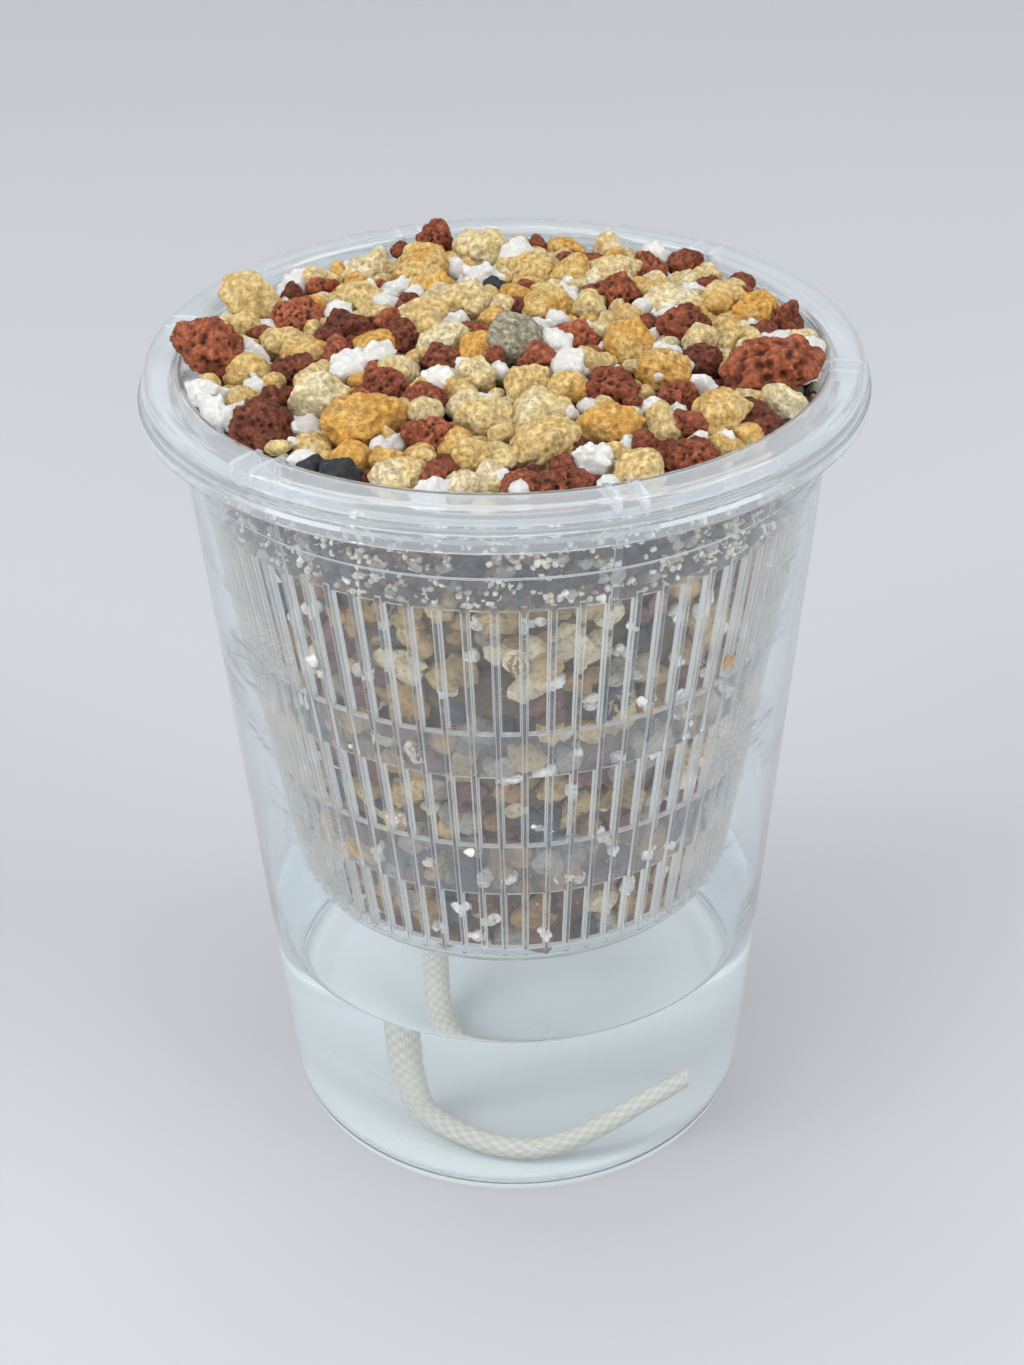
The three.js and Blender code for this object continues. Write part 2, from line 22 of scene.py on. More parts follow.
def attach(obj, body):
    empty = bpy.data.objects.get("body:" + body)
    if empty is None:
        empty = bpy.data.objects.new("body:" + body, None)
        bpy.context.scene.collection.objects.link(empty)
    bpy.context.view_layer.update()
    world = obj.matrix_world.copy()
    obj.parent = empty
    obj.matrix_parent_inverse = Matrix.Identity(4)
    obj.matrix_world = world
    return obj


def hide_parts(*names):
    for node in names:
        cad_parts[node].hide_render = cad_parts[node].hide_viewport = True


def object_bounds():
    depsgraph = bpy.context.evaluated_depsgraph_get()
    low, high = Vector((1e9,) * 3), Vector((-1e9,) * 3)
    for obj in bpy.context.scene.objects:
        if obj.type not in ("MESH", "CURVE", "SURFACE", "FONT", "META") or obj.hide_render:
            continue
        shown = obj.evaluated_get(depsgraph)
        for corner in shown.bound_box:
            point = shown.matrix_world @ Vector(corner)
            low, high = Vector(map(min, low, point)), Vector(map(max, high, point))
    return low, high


Point = tuple[float, float]
Range = tuple[float, float]
Place = tuple[float, float, float]
Profile = list[Point]
Colour = tuple[float, float, float, float]

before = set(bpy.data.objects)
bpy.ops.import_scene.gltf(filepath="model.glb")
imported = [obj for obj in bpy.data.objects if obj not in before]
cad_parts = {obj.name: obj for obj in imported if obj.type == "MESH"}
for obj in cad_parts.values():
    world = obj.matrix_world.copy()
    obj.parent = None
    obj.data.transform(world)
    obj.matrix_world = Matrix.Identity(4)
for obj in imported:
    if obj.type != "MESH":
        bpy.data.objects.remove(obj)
CAD_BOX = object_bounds()

LOG = logging.getLogger("self_watering_pot")
MM = 0.001
PHOTO_HEIGHT = 1365
FULL_TURN = 2 * math.pi
ABOUT_AXIS = {"cent": (0, 0, 0), "axis": (0.0, 0.0, 1.0)}
POT_MIDDLE = Vector((0.0, 0.0, 0.08))

# Points closer than this many metres are joined
WELD = 1e-7

# A length or a turn too small to count
TINY = 1e-6

# Two directions face one way when their dot product is past this
FACING = 0.7

# The colour sockets of a mix node, by number because its other kinds have sockets of the same names
MIX_FACTOR, MIX_FIRST, MIX_SECOND = 0, 6, 7
MIX_RESULT = 2


def paint(red: int, green: int, blue: int) -> Colour:
    """A colour seen on a screen, from 0 to 255, as the linear colour that a shader takes."""
    def linear(part: int) -> float:
        """One part of the colour, made linear."""
        share = part / 255
        return share / 12.92 if share <= 0.04045 else ((share + 0.055) / 1.055) ** 2.4

    return (linear(red), linear(green), linear(blue), 1.0)


def rounded(start: Point, corner: Point, end: Point, steps: int) -> Profile:
    """Points that round off a corner of a profile.

    Args:
        start: Where the rounding leaves the first line.
        corner: Where the two lines would meet.
        end: Where the rounding joins the second line.
        steps: How many lines make up the rounding.

    Returns:
        The points from start to end.
    """
    points = []
    for step in range(steps + 1):
        t = step / steps
        weighted = list(zip(((1 - t) ** 2, 2 * t * (1 - t), t * t), (start, corner, end)))
        points.append(tuple(sum(weight * point[i] for weight, point in weighted) for i in (0, 1)))
    return points


def at_bearing(bearing: float, radius: float, height: float) -> Vector:
    """A point from its bearing in radians, its distance from the axis and its height."""
    return Vector((radius * math.sin(bearing), -radius * math.cos(bearing), height))


def bearing_of(point: Vector) -> float:
    """The bearing of a point in radians."""
    return math.atan2(point.x, -point.y)


def outward(point: Vector) -> Vector:
    """The level direction from the axis to a point."""
    return Vector((point.x, point.y, 0.0)).normalized()


def linked(name: str, data: ID) -> Object:
    """A new object in the scene with its data."""
    thing = bpy.data.objects.new(name, data)
    bpy.context.scene.collection.objects.link(thing)
    return thing


def finished(bm: BMesh, name: str, *materials: Material, crease: float = 35.0) -> Object:
    """Turn a bmesh into a smooth shaded object with its place in its mesh.

    Args:
        bm: The shape in metres, which is freed.
        name: The name of the piece.
        materials: What it is made of, in the order of its faces' material numbers.
        crease: Edges sharper than this many degrees stay sharp.

    Returns:
        The new object.
    """
    limit = math.radians(crease)
    for face in bm.faces:
        face.smooth = True
    for edge in bm.edges:
        edge.smooth = edge.calc_face_angle(0.0) < limit
    mesh = bpy.data.meshes.new(name)
    bm.to_mesh(mesh)
    bm.free()
    for material in materials:
        mesh.materials.append(material)
    return linked(name, mesh)


def welded(bm: BMesh, distance: float = WELD) -> BMesh:
    """Join the points of a shape that lie together, turn its faces outwards and return it."""
    bmesh.ops.remove_doubles(bm, verts=bm.verts, dist=distance)
    bmesh.ops.recalc_face_normals(bm, faces=bm.faces)
    return bm


def bevelled(bm: BMesh, edges: list[BMEdge], offset: float) -> list[BMFace]:
    """Round off some edges of a shape by a distance in millimetres, and return the new faces."""
    made = bmesh.ops.bevel(
        bm, geom=edges, offset=offset * MM, segments=2, profile=0.5, affect="EDGES", material=-1,
    )
    return made["faces"]


def spun(profile: Profile, segments: int) -> BMesh:
    """Spin a profile of distances and heights in millimetres into a closed round body in metres."""
    bm = bmesh.new()
    line = [bm.verts.new((radius * MM, 0.0, height * MM)) for radius, height in profile]
    edges = [bm.edges.new(pair) for pair in zip(line, line[1:])]
    bmesh.ops.spin(bm, geom=line + edges, angle=FULL_TURN, steps=segments, use_merge=True, **ABOUT_AXIS)
    return welded(bm)


def report(piece: Object, body: str, slot: str, *nodes: str) -> Object:
    """Set a piece on its body, hide the solids that it stands for, and log it."""
    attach(piece, body)
    if nodes:
        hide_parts(*nodes)
    LOG.info("%s: %d faces on %s", piece.name, len(piece.data.polygons), body)
    return piece


class Heap:
    """Many small shapes gathered into one piece, each shaped by itself before it is added."""

    def __init__(self) -> None:
        """Start with nothing in the heap."""
        self.whole = bmesh.new()
        self.carrier = bpy.data.meshes.new("heap_carrier")

    def add(self, part: BMesh) -> None:
        """Add one shape, which is freed."""
        part.to_mesh(self.carrier)
        part.free()
        self.whole.from_mesh(self.carrier)

    def piece(self, name: str, material: Material, crease: float) -> Object:
        """Turn the heap into an object."""
        bpy.data.meshes.remove(self.carrier)
        return finished(self.whole, name, material, crease=crease)


class Graph:
    """Short calls that add nodes to one node tree and wire them."""

    def __init__(self, tree: NodeTree) -> None:
        """Work on the given node tree."""
        self.tree = tree

    def add(self, kind: str, sockets: dict[str | int, object] | None = None, **settings: object) -> Node:
        """Add a node, with its settings and with each input wired to a socket or set to a value.

        Args:
            kind: The node's type without its ShaderNode prefix.
            sockets: Inputs by name or number, each a socket to wire or a value to set.
            settings: The node's own settings.

        Returns:
            The new node.
        """
        node = self.tree.nodes.new(f"ShaderNode{kind}")
        for key, value in settings.items():
            setattr(node, key, value)
        self.feed(node, sockets or {})
        return node

    def feed(self, node: Node, sockets: dict[str | int, object]) -> None:
        """Wire each named input of a node to a socket, or set it to a plain value."""
        for key, value in sockets.items():
            if isinstance(value, NodeSocket):
                self.tree.links.new(value, node.inputs[key])
            else:
                node.inputs[key].default_value = value

    def place(self) -> NodeSocket:
        """The point on the piece, in the piece's own coordinates."""
        return self.add("TexCoord").outputs["Object"]

    def attribute(self, name: str, output: str = "Fac") -> NodeSocket:
        """The value of one of the piece's own attributes."""
        return self.add("Attribute", attribute_name=name).outputs[output]

    def grain(
        self, vector: NodeSocket, scale: float, detail: float = 3.0, roughness: float = 0.55,
    ) -> NodeSocket:
        """A noise value from about 0 to 1."""
        sockets = {"Vector": vector, "Scale": scale, "Detail": detail, "Roughness": roughness}
        return self.add("TexNoise", sockets).outputs["Fac"]

    def calc(self, operation: str, first: object, second: object = 0.0) -> NodeSocket:
        """The result of one sum on two values."""
        return self.add("Math", {0: first, 1: second}, operation=operation).outputs[0]

    def spread(
        self, value: NodeSocket, low: float, high: float, out_low: float = 0.0, out_high: float = 1.0,
    ) -> NodeSocket:
        """A value moved from one range to another and kept inside it."""
        sockets = {"Value": value, "From Min": low, "From Max": high, "To Min": out_low, "To Max": out_high}
        return self.add("MapRange", sockets, interpolation_type="SMOOTHSTEP").outputs["Result"]

    def blend(self, factor: object, first: object, second: object, mode: str = "MIX") -> NodeSocket:
        """A colour between two colours, or one colour with another laid on it."""
        sockets = {MIX_FACTOR: factor, MIX_FIRST: first, MIX_SECOND: second}
        return self.add("Mix", sockets, data_type="RGBA", blend_type=mode).outputs[MIX_RESULT]

    def ramp(self, factor: NodeSocket, stops: Sequence[tuple[float, Colour]]) -> NodeSocket:
        """A colour picked from stops along a ramp."""
        node = self.add("ValToRGB", {"Fac": factor})
        elements = node.color_ramp.elements
        while len(elements) < len(stops):
            elements.new(1.0)
        for element, (place, colour) in zip(elements, stops):
            element.position = place
            element.color = colour
        return node.outputs["Color"]

    def bump(self, height: NodeSocket, strength: float, distance: float) -> NodeSocket:
        """A normal that follows a height, whose full range stands for a distance in millimetres."""
        sockets = {"Height": height, "Strength": strength, "Distance": distance * MM}
        return self.add("Bump", sockets).outputs["Normal"]


# Hairline scratches on a wall: their slant in radians, how close they lie and how wide they are
HAIRLINES = ((-0.62, 640.0, 0.02), (-0.5, 1050.0, 0.02), (0.35, 540.0, 0.013))
HAIRLINE_STRETCH = (0.035, 1.0, 1.0)

# The radius in metres at which a round wall is rolled flat for its scratches
WALL_RADIUS = 0.05

# How far the pale specks of a stone lie from its dark ones
SPECK_SHIFT = (0.31, 0.17, 0.53)


class Effect(Enum):
    """The effects that several finishes share, each one node group."""

    SCUFFS = "moulded_wall_scuffs"
    MINERAL = "mineral_grain"

    def placed(self, graph: Graph) -> Node:
        """Place this effect in a material, on the piece's own coordinates."""
        node = graph.tree.nodes.new("ShaderNodeGroup")
        node.node_tree = bpy.data.node_groups.get(self.value) or self._built()
        graph.feed(node, {"Vector": graph.place()})
        return node

    def _built(self) -> NodeTree:
        """Make the node group with its sockets."""
        tree = bpy.data.node_groups.new(self.value, "ShaderNodeTree")
        tree.interface.new_socket("Vector", in_out="INPUT", socket_type="NodeSocketVector")
        graph = Graph(tree)
        vector = tree.nodes.new("NodeGroupInput").outputs["Vector"]
        leave = tree.nodes.new("NodeGroupOutput")
        made = self._scuffs(graph, vector) if self is Effect.SCUFFS else self._mineral(graph, vector)
        for name, socket in made.items():
            tree.interface.new_socket(name, in_out="OUTPUT", socket_type="NodeSocketFloat")
            tree.links.new(socket, leave.inputs[name])
        return tree

    @staticmethod
    def _scuffs(graph: Graph, vector: NodeSocket) -> dict[str, NodeSocket]:
        """Slanting hairlines that gather in clouds on a round wall."""
        parts = graph.add("SeparateXYZ", {"Vector": vector}).outputs
        bearing = graph.calc("ARCTAN2", parts["X"], graph.calc("MULTIPLY", parts["Y"], -1.0))
        across = graph.calc("MULTIPLY", bearing, WALL_RADIUS)
        flat = graph.add("CombineXYZ", {"X": across, "Y": parts["Z"]}).outputs["Vector"]
        lines = []
        for slant, scale, width in HAIRLINES:
            sockets = {"Vector": flat, "Rotation": (0, 0, slant), "Scale": HAIRLINE_STRETCH}
            drawn_out = graph.add("Mapping", sockets).outputs["Vector"]
            fine = graph.grain(drawn_out, scale, detail=2.0, roughness=0.6)
            off = graph.calc("ABSOLUTE", graph.calc("SUBTRACT", fine, 0.5))
            lines.append(graph.spread(off, low=0.0, high=width, out_low=1.0, out_high=0.0))
        clouds = graph.spread(graph.grain(flat, scale=34.0), low=0.42, high=0.68)
        hairs = lines[0]
        for line in lines[1:]:
            hairs = graph.calc("MAXIMUM", hairs, line)
        return {"Hairlines": graph.calc("MULTIPLY", hairs, clouds)}

    @staticmethod
    def _mineral(graph: Graph, vector: NodeSocket) -> dict[str, NodeSocket]:
        """Cloudy tone, dark specks, pale specks and pores of a small stone."""
        tone = graph.grain(vector, scale=190.0, detail=5.0, roughness=0.62)
        dark = graph.spread(graph.grain(vector, scale=1500.0, detail=2.0), low=0.66, high=0.72)
        shifted = graph.add("Mapping", {"Vector": vector, "Location": SPECK_SHIFT}).outputs["Vector"]
        pale = graph.spread(graph.grain(shifted, scale=1100.0, detail=2.0), low=0.64, high=0.7)
        pits = graph.spread(graph.grain(vector, scale=1150.0, detail=5.0, roughness=0.7), low=0.28, high=0.6)
        fine = graph.grain(vector, scale=2400.0, detail=4.0, roughness=0.7)
        pores = graph.calc("ADD", graph.calc("MULTIPLY", pits, 0.6), graph.calc("MULTIPLY", fine, 0.4))
        return {"Tone": tone, "Dark": dark, "Pale": pale, "Pores": pores}


def blank(name: str) -> tuple[Material, Graph, Node]:
    """A new material with its graph and its shader."""
    material = bpy.data.materials.new(name)
    material.use_nodes = True
    return material, Graph(material.node_tree), material.node_tree.nodes["Principled BSDF"]


def let_light_through(graph: Graph, shader: Node, share: float) -> None:
    """Let a share of the light on what stands inside pass straight through a clear material.

    Args:
        graph: The material's graph.
        shader: Its shader, which every other ray meets.
        share: How much of the light passes.
    """
    ray = graph.add("LightPath").outputs
    inward = graph.calc("MAXIMUM", ray["Is Shadow Ray"], ray["Is Diffuse Ray"])
    clear = graph.add("BsdfTransparent").outputs[0]
    both = graph.add("MixShader", {0: graph.calc("MULTIPLY", inward, share), 1: shader.outputs[0], 2: clear})
    graph.feed(graph.tree.nodes["Material Output"], {"Surface": both.outputs[0]})


WORN_PLASTIC = paint(252, 253, 254)


@dataclass(frozen=True)
class ClearPlastic:
    """Hazy clear moulded plastic with hairline scratches."""

    name: str
    colour: Colour
    clearness: float
    smooth: float
    rough: float
    shine: float = 0.5
    worn: Colour = WORN_PLASTIC
    refraction: float = 1.49
    light_share: float = 0.96

    def material(self) -> Material:
        """The plastic as a material."""
        material, graph, shader = blank(self.name)
        hairs = Effect.SCUFFS.placed(graph).outputs["Hairlines"]
        graph.feed(shader, {
            "Base Color": graph.blend(hairs, self.colour, self.worn),
            "Roughness": graph.spread(hairs, 0.0, 1.0, self.smooth, self.rough),
            "Specular IOR Level": self.shine,
            "Transmission Weight": self.clearness,
            "IOR": self.refraction,
        })
        let_light_through(graph, shader, self.light_share)
        return material


@dataclass(frozen=True)
class Liquid:
    """Clear water with a faint tint."""

    name: str
    colour: Colour
    pale: Colour
    refraction: float = 1.333
    light_share: float = 0.95

    def material(self) -> Material:
        """The water as a material, with the slightest ripple on it."""
        material, graph, shader = blank(self.name)
        ripple = graph.grain(graph.place(), scale=60.0, detail=1.0)
        cloud = graph.grain(graph.place(), scale=20.0, detail=1.0)
        graph.feed(shader, {
            "Normal": graph.bump(ripple, strength=0.04, distance=0.4),
            "Base Color": graph.blend(cloud, self.colour, self.pale),
            "Roughness": 0.0,
            "Transmission Weight": 1.0,
            "IOR": self.refraction,
        })
        let_light_through(graph, shader, self.light_share)
        return material


@dataclass(frozen=True)
class Yarn:
    """Braided off-white yarn, with painted shade that greys it between its plaits."""

    name: str
    crown: Colour
    valley_shade: Colour

    def material(self) -> Material:
        """The yarn as a material."""
        material, graph, shader = blank(self.name)
        along = graph.add("TexCoord").outputs["UV"]
        strands = graph.add("TexWave", {"Vector": along, "Scale": 9.0, "Distortion": 2.5}).outputs["Fac"]
        # Painted shade: the yarn is greyer in the valleys between its plaits, where shade falls
        body = graph.blend(graph.attribute("crown"), self.valley_shade, self.crown)
        soft = graph.spread(strands, 0.0, 1.0, out_low=0.86, out_high=1.0)
        fuzz = graph.calc("ADD", strands, graph.grain(graph.place(), scale=3000.0))
        graph.feed(shader, {
            "Base Color": graph.blend(1.0, body, soft, "MULTIPLY"),
            "Normal": graph.bump(fuzz, strength=0.5, distance=0.25),
            "Roughness": 0.85,
            "Sheen Weight": 0.25,
        })
        return material


@dataclass(frozen=True)
class Mineral:
    """One kind of stone: its tones along a ramp, its specks, its pores and the painted shade in its pores and
    hollows.
    """

    name: str
    tones: tuple[tuple[float, Colour], ...]
    dark: Colour
    dark_share: float
    pale: Colour
    pale_share: float
    pore_depth: float
    # The colour that the painted shade in the pores and hollows darkens towards
    pit: Colour
    pore_shade: float
    hollow_shade: float
    roughness: float = 0.88
    drift: float = 1.5

    def material(self) -> Material:
        """The stone as a material, whose tone each stone sets by its own attribute, with painted shade
        darkening its pores and hollows towards its pit colour.
        """
        material, graph, shader = blank(self.name)
        grain = Effect.MINERAL.placed(graph).outputs
        drift = graph.calc("MULTIPLY", graph.calc("SUBTRACT", grain["Tone"], 0.5), self.drift)
        base = graph.ramp(graph.calc("ADD", graph.attribute("tone"), drift), self.tones)
        specked = graph.blend(graph.calc("MULTIPLY", grain["Dark"], self.dark_share), base, self.dark)
        lit = graph.blend(graph.calc("MULTIPLY", grain["Pale"], self.pale_share), specked, self.pale)
        # Painted shade: the pores and the hollows of the stone's own relief are darkened
        fine = graph.spread(grain["Pores"], 0.15, 0.75, out_low=1.0 - self.pore_shade, out_high=1.0)
        hollow = graph.attribute("hollow")
        hollow_shading = graph.spread(hollow, -0.1, 0.9, out_low=1.0, out_high=1.0 - self.hollow_shade)
        shade = graph.calc("SUBTRACT", 1.0, graph.calc("MULTIPLY", fine, hollow_shading))
        graph.feed(shader, {
            "Base Color": graph.blend(shade, lit, self.pit, "MULTIPLY"),
            "Normal": graph.bump(grain["Pores"], strength=1.0, distance=self.pore_depth),
            "Roughness": self.roughness,
        })
        return material


@dataclass(frozen=True)
class Gravel:
    """Mixed grains, each with its own colour in an attribute."""

    name: str
    speck: Colour = paint(60, 52, 46)
    speck_share: float = 0.5
    roughness: float = 0.85

    def material(self) -> Material:
        """The grains as a material."""
        material, graph, shader = blank(self.name)
        grain = Effect.MINERAL.placed(graph).outputs
        cloud = graph.spread(grain["Tone"], 0.25, 0.75, out_low=0.5, out_high=1.3)
        pores = graph.spread(grain["Pores"], 0.2, 0.7, out_low=0.6, out_high=1.1)
        shade = graph.calc("MULTIPLY", cloud, pores)
        darker = graph.blend(1.0, graph.attribute("hue", "Color"), shade, "MULTIPLY")
        specks = graph.calc("MULTIPLY", grain["Dark"], self.speck_share)
        graph.feed(shader, {
            "Base Color": graph.blend(specks, darker, self.speck),
            "Normal": graph.bump(grain["Pores"], strength=0.6, distance=0.25),
            "Roughness": self.roughness,
        })
        return material


@dataclass(frozen=True)
class View:
    """Where the photograph was taken from."""

    place: Place = (0.0, -305.89, 279.92)
    pitch: float = 0.572
    yaw: float = 0.001
    roll: float = -0.019
    focal_pixels: float = 2050.0
    sensor: float = 36.0
    nearest: float = 0.01

    def build(self) -> None:
        """Make the camera and set it as the scene's."""
        level = math.cos(self.pitch)
        forward = Vector((math.sin(self.yaw) * level, math.cos(self.yaw) * level, -math.sin(self.pitch)))
        right = Vector((math.cos(self.yaw), -math.sin(self.yaw), 0.0))
        upward = right.cross(forward)
        across = math.cos(self.roll) * right + math.sin(self.roll) * upward
        over = math.cos(self.roll) * upward - math.sin(self.roll) * right
        turn = Matrix((across, over, -forward)).transposed().to_4x4()
        data = bpy.data.cameras.new("photo_camera")
        data.sensor_width = self.sensor
        data.lens = self.focal_pixels / PHOTO_HEIGHT * self.sensor
        data.clip_start = self.nearest
        camera = linked("photo_camera", data)
        camera.matrix_world = Matrix.Translation(Vector(self.place) * MM) @ turn
        bpy.context.scene.camera = camera


@dataclass(frozen=True)
class Softbox:
    """One soft lamp that faces the pot."""

    name: str
    place: Place
    width: float
    height: float
    power: float

    def build(self) -> None:
        """Make the lamp and turn it to the middle of the pot."""
        data = bpy.data.lights.new(self.name, "AREA")
        data.shape = "RECTANGLE"
        data.size = self.width
        data.size_y = self.height
        data.energy = self.power
        lamp = linked(self.name, data)
        lamp.location = self.place
        lamp.rotation_mode = "QUATERNION"
        lamp.rotation_quaternion = (POT_MIDDLE - lamp.location).to_track_quat("-Z", "Y")


@dataclass(frozen=True)
class Studio:
    """A plain pale floor under soft light."""

    floor: Colour = paint(196, 198, 202)
    floor_shade: float = 0.97
    room: Colour = (0.32, 0.328, 0.338, 1.0)
    backdrop: Colour = paint(178, 180, 183)
    reach: float = 25.0
    daylight: float = 1.35
    daylight_spread: float = 55.0
    daylight_lean: tuple[float, float] = (-4.0, -8.0)
    bounces: int = 20
    clear_bounces: int = 24
    lamps: tuple[Softbox, ...] = (
        Softbox("left_softbox", (-1.15, -0.6, 0.85), 1.0, 1.1, 12.5),
        Softbox("right_softbox", (1.15, -0.45, 0.85), 0.9, 1.1, 10.0),
        Softbox("front_softbox", (0.0, -1.5, 0.6), 1.2, 0.7, 5.0),
    )

    def build(self) -> None:
        """Make the floor, the lamps and the light of the room."""
        scene = bpy.context.scene
        scene.view_settings.view_transform = "Standard"
        scene.cycles.max_bounces = self.bounces
        scene.cycles.transmission_bounces = self.bounces
        scene.cycles.transparent_max_bounces = self.clear_bounces
        scene.cycles.caustics_refractive = False
        scene.cycles.caustics_reflective = False
        self._floor()
        for lamp in self.lamps:
            lamp.build()
        overhead = bpy.data.lights.new("overhead_daylight", "SUN")
        overhead.energy = self.daylight
        overhead.angle = math.radians(self.daylight_spread)
        sky = linked("overhead_daylight", overhead)
        sky.rotation_euler = (*(math.radians(lean) for lean in self.daylight_lean), 0.0)
        scene.world = self._world()

    def _floor(self) -> None:
        """Lay the floor, a little cloudy, as part of the stage."""
        material, graph, shader = blank("pale_floor")
        cloud = graph.grain(graph.place(), scale=6.0, detail=2.0)
        shade = tuple(self.floor_shade * part for part in self.floor[:3]) + (1.0,)
        graph.feed(shader, {"Base Color": graph.blend(cloud, self.floor, shade), "Roughness": 0.7})
        bm = bmesh.new()
        bmesh.ops.create_grid(bm, x_segments=1, y_segments=1, size=self.reach)
        finished(bm, "floor", material)

    def _world(self) -> World:
        """The light of the room, which looks like the far floor where it is seen."""
        world = bpy.data.worlds.new("studio_room")
        world.use_nodes = True
        graph = Graph(world.node_tree)
        ray = graph.add("LightPath").outputs
        through = graph.calc("MAXIMUM", ray["Is Glossy Ray"], ray["Is Transmission Ray"])
        seen = graph.calc("MAXIMUM", ray["Is Camera Ray"], through)
        sky = graph.blend(seen, self.room, self.backdrop)
        graph.feed(world.node_tree.nodes["Background"], {"Color": sky})
        return world


@dataclass
class Cup:
    """The clear tapered cup that holds the water."""

    height: float = 145.0
    rim_radius: float = 58.7
    rim_edge: float = 0.2
    mouth_radius: float = 53.6
    foot_radius: float = 43.1
    wall: float = 0.9
    wall_marks: tuple[float, ...] = (0.1, 0.25, 0.5, 0.75)
    floor: float = 1.2
    foot_fillet: float = 3.0
    foot_ring: float = 4.0
    ring_edge: tuple[Point, ...] = ((-0.2, 0.1), (0.3, 0.0))
    recess: float = 1.0
    step_drop: float = 11.0
    step: float = 0.35
    skirt_drop: float = 3.4
    skirt_edge: float = 0.15
    groove_drop: float = 1.3
    groove: float = 0.5
    groove_edge: float = 0.1
    segments: int = 192

    @property
    def floor_top(self) -> float:
        """The height of the floor inside."""
        return self.recess + self.floor

    @property
    def step_height(self) -> float:
        """The height of the stacking step."""
        return self.height - self.step_drop

    def outside(self, z: float) -> float:
        """The wall's outside radius at a height."""
        below = self.foot_radius + (self.mouth_radius - self.step - self.foot_radius) * z / self.height
        return below + self.step if z > self.step_height else below

    def inside(self, z: float) -> float:
        """The wall's inside radius at a height."""
        return self.outside(z) - self.wall

    def profile(self) -> Profile:
        """The cup's section, from the middle of its underside round to the middle of its floor."""
        stand = self.foot_radius - self.foot_fillet
        ring = stand - self.foot_ring
        heel = (self.outside(self.foot_fillet), self.foot_fillet)
        step_z = self.step_height
        stepped = self.outside(step_z) + self.step
        points = [(0.0, self.recess), (ring - self.recess, self.recess)]
        points += [(ring + across, up) for across, up in self.ring_edge]
        points += rounded((stand, 0.0), (self.foot_radius, 0.0), heel, 8)
        points += [(self.outside(step_z * mark), step_z * mark) for mark in self.wall_marks]
        points += [(self.outside(step_z), step_z), (stepped, step_z + self.step)]
        points += self._rim()
        points += [(stepped - self.wall, step_z + self.step), (self.inside(step_z), step_z)]
        points += [(self.inside(step_z * mark), step_z * mark) for mark in self.wall_marks[::-1]]
        corner = self.inside(self.floor_top)
        fillet_top = self.floor_top + self.foot_fillet
        fillet_end = (corner - self.foot_fillet, self.floor_top)
        points += rounded((self.inside(fillet_top), fillet_top), (corner, self.floor_top), fillet_end, 8)
        return [*points, (0.0, self.floor_top)]

    def _rim(self) -> Profile:
        """The section of the rolled rim, from the wall's outside round to its inside."""
        radius, top, edge = self.rim_radius, self.height, self.rim_edge
        under = top - self.wall
        skirt = top - self.skirt_drop
        hollow = radius - self.wall
        groove = top - self.groove_drop
        bead = radius - self.groove
        soft = self.wall / 2
        wall = self.outside(under)
        lip = self.inside(top)
        points = rounded((wall, under - soft), (wall, under), (wall + soft, under), 4)
        points += rounded((hollow - soft, under), (hollow, under), (hollow, under - soft), 4)
        points += [(hollow, skirt + self.skirt_edge), (hollow + self.skirt_edge, skirt)]
        points += rounded((radius - edge, skirt), (radius, skirt), (radius, skirt + edge), 3)
        points += [(radius, groove - self.groove), (bead, groove)]
        points += rounded((bead, groove + self.groove_edge), (bead, top), (bead - self.wall, top), 6)
        return points + rounded((lip + soft, top), (lip, top), (self.inside(top - soft), top - soft), 4)

    def build(self) -> None:
        """Spin the cup."""
        pale = paint(240, 249, 251)
        wall = ClearPlastic("cup_plastic", paint(249, 252, 254), 0.987, 0.0, 0.32, 0.25)
        base = ClearPlastic("cup_base_plastic", pale, 0.16, 0.08, 0.08, worn=pale)
        rim = ClearPlastic("cup_rim_plastic", paint(243, 248, 251), 0.86, 0.02, 0.28)
        plastics = (wall, base, rim)
        bm = spun(self.profile(), self.segments)
        for face in bm.faces:
            z = face.calc_center_median().z / MM
            plastic = base if z < self.foot_fillet or 0 < z - self.step_height < self.step else wall
            face.material_index = plastics.index(rim if z > self.height - self.skirt_drop else plastic)
        shell = finished(bm, "cup_shell", *(plastic.material() for plastic in plastics), crease=28.0)
        report(shell, "reservoir", "cup", "reservoir_cup")


@dataclass
class Water:
    """The water in the cup, drawn up a little at its edge."""

    cup: Cup
    level: float = 38.3
    overlap: float = 0.06
    climb: float = 1.1
    edge: tuple[float, float, float] = (0.1, 0.5, 3.0)
    flat: float = 8.0
    segments: int = 160

    def side(self, z: float) -> float:
        """The water's radius at a height, a hair inside the cup's wall so that no air shows between them."""
        return self.cup.inside(z) + self.overlap

    def profile(self) -> Profile:
        """The water's section, from the middle of its underside round to the middle of its surface."""
        bottom = self.cup.floor_top - self.overlap
        fillet = self.cup.foot_fillet
        corner = self.side(bottom)
        fillet_end = (self.side(bottom + fillet), bottom + fillet)
        top = self.level + self.climb
        wet = self.side(top)
        tip, turn, end = (wet - inward for inward in self.edge)
        points = [(0.0, bottom), *rounded((corner - fillet, bottom), (corner, bottom), fillet_end, 8)]
        points += [(self.side(self.level / 2), self.level / 2), (wet, top)]
        points += rounded((tip, top), (turn, self.level), (end, self.level), 8)
        return [*points, (wet - self.flat, self.level), (0.0, self.level)]

    def build(self) -> None:
        """Spin the water."""
        clear = Liquid("water_clear", (0.9, 0.955, 0.985, 1.0), (0.97, 0.985, 1.0, 1.0))
        body = finished(spun(self.profile(), self.segments), "water_body", clear.material(), crease=60.0)
        report(body, "reservoir", "water", "water")


